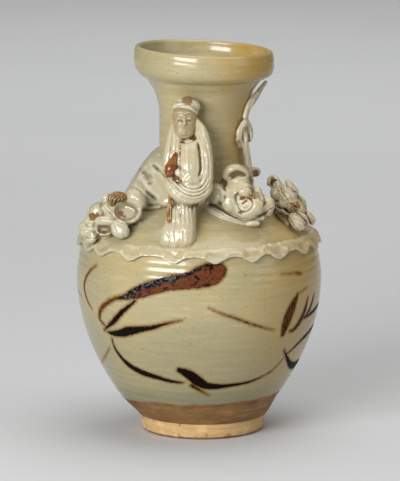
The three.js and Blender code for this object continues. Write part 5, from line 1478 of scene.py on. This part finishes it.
class URN_OT_small_beast(OrnamentPiece, bpy.types.Operator):
    """Model the small beast on the left, its jaws a pinched cup"""

    bl_idname = "urn.small_beast"
    bl_label = "Small beast"

    def build(self, vessel, colours):
        glazed = ornament_glaze(colours, "small_beast_glaze", 0.6)
        creases = [
            (0.7, 0.9, [(102.4, 205), (106, 209.4), (111, 213.6), (115, 218)]),
            (0.6, 0.7, [(100.6, 208.6), (102.4, 212.4), (103.6, 218)]),
            (0.6, 0.6, [(107, 204.6), (111, 209.4)]),
            (0.8, 1.2, [(86.6, 219.6), (94, 219.6), (104, 217.6), (114.6, 218.6)]),
            (0.7, 0.9, [(114, 218.4), (121, 222), (127.6, 225)]),
            (0.7, 0.8, [(84, 222.5), (88, 226.7), (92, 225.4)]),
            (0.5, 0.5, [(82.8, 231), (86, 230), (90, 232)]),
            (0.8, 1.1, [(84, 236.6), (88.6, 238), (93.6, 236)]),
            (0.6, 0.7, [(90.6, 223), (94, 228), (95.6, 234)]),
            (0.7, 0.9, [(113.6, 224), (115.4, 229.4), (116.6, 233)]),
            (0.6, 0.7, [(121.6, 233.4), (124.4, 236), (124, 240)]),
        ]
        stains = [(121, 213.6, 4, 0.9, 0.25), (124.6, 216, 2.6, 0.7, 0.1), (92, 216.6, 4.4, 1, 0.8),
                  (96.6, 215, 3, 0.7, 0.3), (98.6, 233.6, 2.4, 0.8, 0.3), (104, 233.6, 3, 0.6, 0),
                  (110.6, 196, 3, 0.9, 0.2), (108.6, 202, 2, 0.7, 0.1)]
        self.lay(vessel, "small_beast", parts("left_beast", "head jaws lips crest_tip ear cheek nose paw"), glazed,
                 fill=1.9, lines=creases, marks=stains, kneading=(0.15, 5))
        brown = iron_glaze(colours, "crest_glaze", colours.brown)
        stripes = [(0.5, 0.9, line) for line in (
            [(109.4, 204), (110.4, 198), (114.6, 193.6)], [(112, 206), (113, 200), (117.6, 195.6)],
            [(114.4, 207), (116, 202), (119.6, 197.4)], [(117.4, 206.6), (119.6, 202), (122.4, 197)],
            [(121.4, 203.6), (124.6, 199.4)])]
        self.lay(vessel, "small_beast_crest", ["left_beast_crest"], brown, 0.36, fill=0.5, lines=stripes,
                 slot="iron_brown")


class URN_OT_flank_and_tail(OrnamentPiece, bpy.types.Operator):
    """Wind the beast's flank round the neck's root and lay its tail up the neck"""

    bl_idname = "urn.flank_and_tail"
    bl_label = "Flank and tail"

    def build(self, vessel, colours):
        glazed = ornament_glaze(colours, "flank_glaze")
        cuts = [
            (1.0, 1.5, [(137.5, 179.5), (145.3, 190), (155.7, 199)]),
            (1.0, 1.5, [(153, 164), (163.5, 174.3), (168.7, 182)]),
            (0.9, 1.1, [(140, 167.8), (146, 174), (151.8, 178.2)]),
            (0.9, 1.1, [(142.4, 168.7), (147, 177), (152, 184.5)]),
            (0.9, 1.1, [(152, 163.9), (158.2, 171.2)]),
            (1.0, 1.4, [(142.4, 188), (149, 195), (155.8, 200.3)]),
            (0.9, 1.1, [(131, 186), (137, 195), (146, 203)]),
            (1.2, 1.4, [(146.6, 205.6), (158.3, 205.6), (166, 208.8)]),
        ]
        brushed = [(*place, 1.1, 0.5, 0) for _, _, cut in cuts for place in smooth_path(cut, 1.0)[0]]
        dabs = [(137 + 1.7 * k, 166 + 2.4 * k, 2.4 + k % 3, 0.5 + 0.1 * (k % 2), 0) for k in range(8)]
        stains = [*brushed, *dabs, (130, 182, 4, 0.5, 0), (150, 174, 2.6, 0.5, 0), (153, 178, 2.6, 0.55, 0)]
        self.lay(vessel, "flank", ["beast_flank"], glazed, 0.75, fill=0.0, lines=cuts, kneading=(0.35, 16), soft=16,
                 marks=stains)
        stains = [(238.4, 143, 4, 0.75, 0.1), (252, 130, 3, 0.5, 0), (246.4, 138, 2, 0.5, 0.2),
                  (248.6, 141, 2, 0.5, 0.8), (256.4, 97, 3.4, 0.4, 0), (250, 170, 5, 0.3, 0.7),
                  (255.6, 173, 4.4, 0.9, 0.2)]
        grooves = [(0.7, 0.9, [(244.6, 126), (243.4, 134), (243.8, 142), (245.4, 150)]),
                   (0.6, 0.8, [(248.4, 126), (249, 134), (248.6, 142)]),
                   (0.6, 0.6, [(256, 91), (252.4, 99), (249.8, 108), (248.6, 116)]),
                   (0.6, 0.5, [(246.6, 140), (248.6, 152), (250, 166)])]
        self.lay(vessel, "tail", parts("tail", "fold strand leaf knob"), glazed, fill=0.6, marks=stains,
                 lines=grooves)


class URN_OT_bird(OrnamentPiece, bpy.types.Operator):
    """Model the bird on the right, its feathers laid over one another"""

    bl_idname = "urn.bird"
    bl_label = "Bird"

    def build(self, vessel, colours):
        glazed = ornament_glaze(colours, "bird_glaze", 1.2, 0.25, 0.3)
        creases = [
            (0.8, 1.3, [(271.6, 186.6), (272.2, 182.6), (275, 180.2), (278, 180.6)]),
            (0.6, 0.8, [(272.6, 186.4), (276.6, 189.6), (281, 191.4)]),
            (0.9, 1.6, [(281.4, 190.6), (283.6, 194), (285.4, 197)]),
            (0.7, 0.9, [(280, 187.4), (285, 195), (288.6, 201), (291, 205)]),
            (0.7, 0.9, [(285.6, 185), (288.6, 189), (293, 191.6), (297, 192.4)]),
            (0.8, 1.2, [(272, 198.4), (275.4, 201), (279, 200.6)]),
            (0.8, 1.2, [(293.6, 203.4), (297.4, 202), (299.6, 203)]),
            (0.6, 0.8, [(286, 204.6), (292, 203), (297.6, 204.6)]),
            (0.8, 1.2, [(275, 205.6), (282, 208.6), (288, 212.6)]),
            (0.7, 1.0, [(287, 213), (293, 213.6), (299.6, 215.6), (305, 220), (309, 226)]),
            (0.6, 0.7, [(302, 214.6), (308.6, 220), (310.6, 227)]),
            (0.8, 1.0, [(288.6, 216.4), (292, 223), (297, 229.4), (302, 232)]),
            (0.6, 0.6, [(294, 216.6), (298, 222), (300, 229)]),
            (0.6, 0.6, [(300.6, 197.6), (301, 204), (300, 209.6)]),
            (0.5, 0.5, [(277, 192), (281, 196.6), (284, 203)]),
        ]
        # The three marks at 283, 288 and 292 across are painted shadow under the perch; the others are stains
        stains = [(294, 208, 6, 0.8, 0.6), (298, 202, 2.6, 0.8, 0.5), (272.6, 178.4, 3, 0.7, 0.1),
                  (305.4, 225.6, 3, 0.7, 0.3), (311, 222.4, 3.6, 0.6, 0), (283, 215, 5, 0.6, 0),
                  (292, 225, 5, 0.6, 0), (288, 219, 4, 0.6, 0.1)]
        self.lay(vessel, "perched_bird",
                 parts("bird", "body head breast near_feather tall_feather far_feather wing tail perch"), glazed,
                 0.36, fill=0.8, lines=creases, marks=stains, kneading=(0.28, 6))
        brown = iron_glaze(colours, "feather_glaze", colours.rust, 0.26)
        pits = [(0.7, 0.9, [(289.4, 206), (294.8, 211.5)]), (0.7, 0.9, [(293.4, 204.7), (300.2, 210)])]
        self.lay(vessel, "brown_feather", ["bird_brown_feather"], brown, 0.36, fill=0.4, lines=pits,
                 slot="iron_brown")


# The lamps: a name, a place and what it aims at in metres, its power in watts, its width and height
LAMPS = (
    ("key", (-0.72, -1.2, 0.62), (0, 0, 0.14), 22, (0.95, 0.45)),
    ("fill", (1.2, -0.6, 0.6), (0, 0, 0.13), 2, (0.7, 0.9)),
    ("top", (0.25, 0.1, 1.5), (0, 0, 0.2), 13, (1.6, 1.2)),
    ("backdrop", (0, 1.5, 1.8), (0, 3.1, 0.2), 26, (1.8, 0.6)),
)


class URN_OT_stage(bpy.types.Operator):
    """Set the floor, the backdrop, the lamps and the camera, and finish the clay inside"""

    bl_idname = "urn.stage"
    bl_label = "Stage"

    def execute(self, context):
        colours = context.scene.urn_colours
        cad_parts["shoulder_seam_coil"].material_slots[0].material = bare_clay(colours).material
        paper = Finish("pale_paper", 0.9)
        paper.feed("Base Color", paper.colour(colours.floor).mix(colours.paper, paper.place.noise(400, 2)))
        half, curve, tall = 4.5, 0.5, 3  # metres
        flat = half - curve
        turn = np.linspace(0.1, 1.57, 14)
        bend = [(-half, 0), (flat, 0), *((flat + curve * math.sin(t), curve - curve * math.cos(t)) for t in turn),
                (half, tall)]
        mesh = bpy.data.meshes.new("floor_and_backdrop")
        points = [(x, y, z) for y, z in bend for x in (-half, half)]
        mesh.from_pydata(points, [], [(2 * i, 2 * i + 1, 2 * i + 3, 2 * i + 2) for i in range(len(bend) - 1)])
        mesh.shade_smooth()
        mesh.materials.append(paper.material)
        floor = bpy.data.objects.new("floor_and_backdrop", mesh)
        context.collection.objects.link(floor)

        for name, place, aim, power, size in LAMPS:
            light = bpy.data.lights.new(name, "AREA")
            light.shape, light.size, light.size_y, light.energy = "RECTANGLE", *size, power
            lit = bpy.data.objects.new(name, light)
            lit.location = place
            lit.rotation_euler = (Vector(aim) - Vector(place)).to_track_quat("-Z", "Y").to_euler()
            context.collection.objects.link(lit)

        world = bpy.data.worlds.new("studio")
        world.use_nodes = True
        ground = world.node_tree.nodes["Background"]
        ground.inputs["Color"].default_value = (*colours.air, 1)
        ground.inputs["Strength"].default_value = 0.3
        context.scene.world = world
        context.scene.view_settings.view_transform = "Standard"

        sensor, away = 36, AWAY * MILLIMETRE
        camera = bpy.data.objects.new("camera", bpy.data.cameras.new("camera"))
        camera.data.lens = sensor * FOCAL / FRAME[1]
        camera.data.sensor_width = sensor
        camera.location = (AIM_ACROSS * MILLIMETRE, -away * math.cos(PITCH),
                           AIM_HEIGHT * MILLIMETRE + away * math.sin(PITCH))
        camera.rotation_euler = (math.pi / 2 - PITCH, 0, 0)
        context.collection.objects.link(camera)
        context.scene.camera = camera
        return {"FINISHED"}


PIECES = (URN_OT_stage, URN_OT_foot, URN_OT_body, URN_OT_upper_sections, URN_OT_frill, URN_OT_figure, URN_OT_dragon,
          URN_OT_small_beast, URN_OT_flank_and_tail, URN_OT_bird)


class URN_PT_panel(bpy.types.Panel):
    """Lists the urn's pieces in the order in which they are made"""

    bl_idname = "URN_PT_panel"
    bl_label = "Funerary urn"
    bl_space_type = "VIEW_3D"
    bl_region_type = "UI"
    bl_category = "Urn"

    def draw(self, context):
        for group in (context.scene.urn_sizes, context.scene.urn_colours):
            box = self.layout.box()
            for name in group.__annotations__:
                box.prop(group, name)
        for piece in PIECES:
            self.layout.operator(piece.bl_idname)


CLASSES = (UrnSizes, UrnColours, *PIECES, URN_PT_panel)


def register():
    for kind in CLASSES:
        bpy.utils.register_class(kind)
    bpy.types.Scene.urn_sizes = PointerProperty(type=UrnSizes)
    bpy.types.Scene.urn_colours = PointerProperty(type=UrnColours)


def unregister():
    del bpy.types.Scene.urn_colours
    del bpy.types.Scene.urn_sizes
    for kind in reversed(CLASSES):
        bpy.utils.unregister_class(kind)


def main():
    register()
    for piece in PIECES:
        group, name = piece.bl_idname.split(".")
        getattr(getattr(bpy.ops, group), name)()


if __name__ == "__main__":
    main()
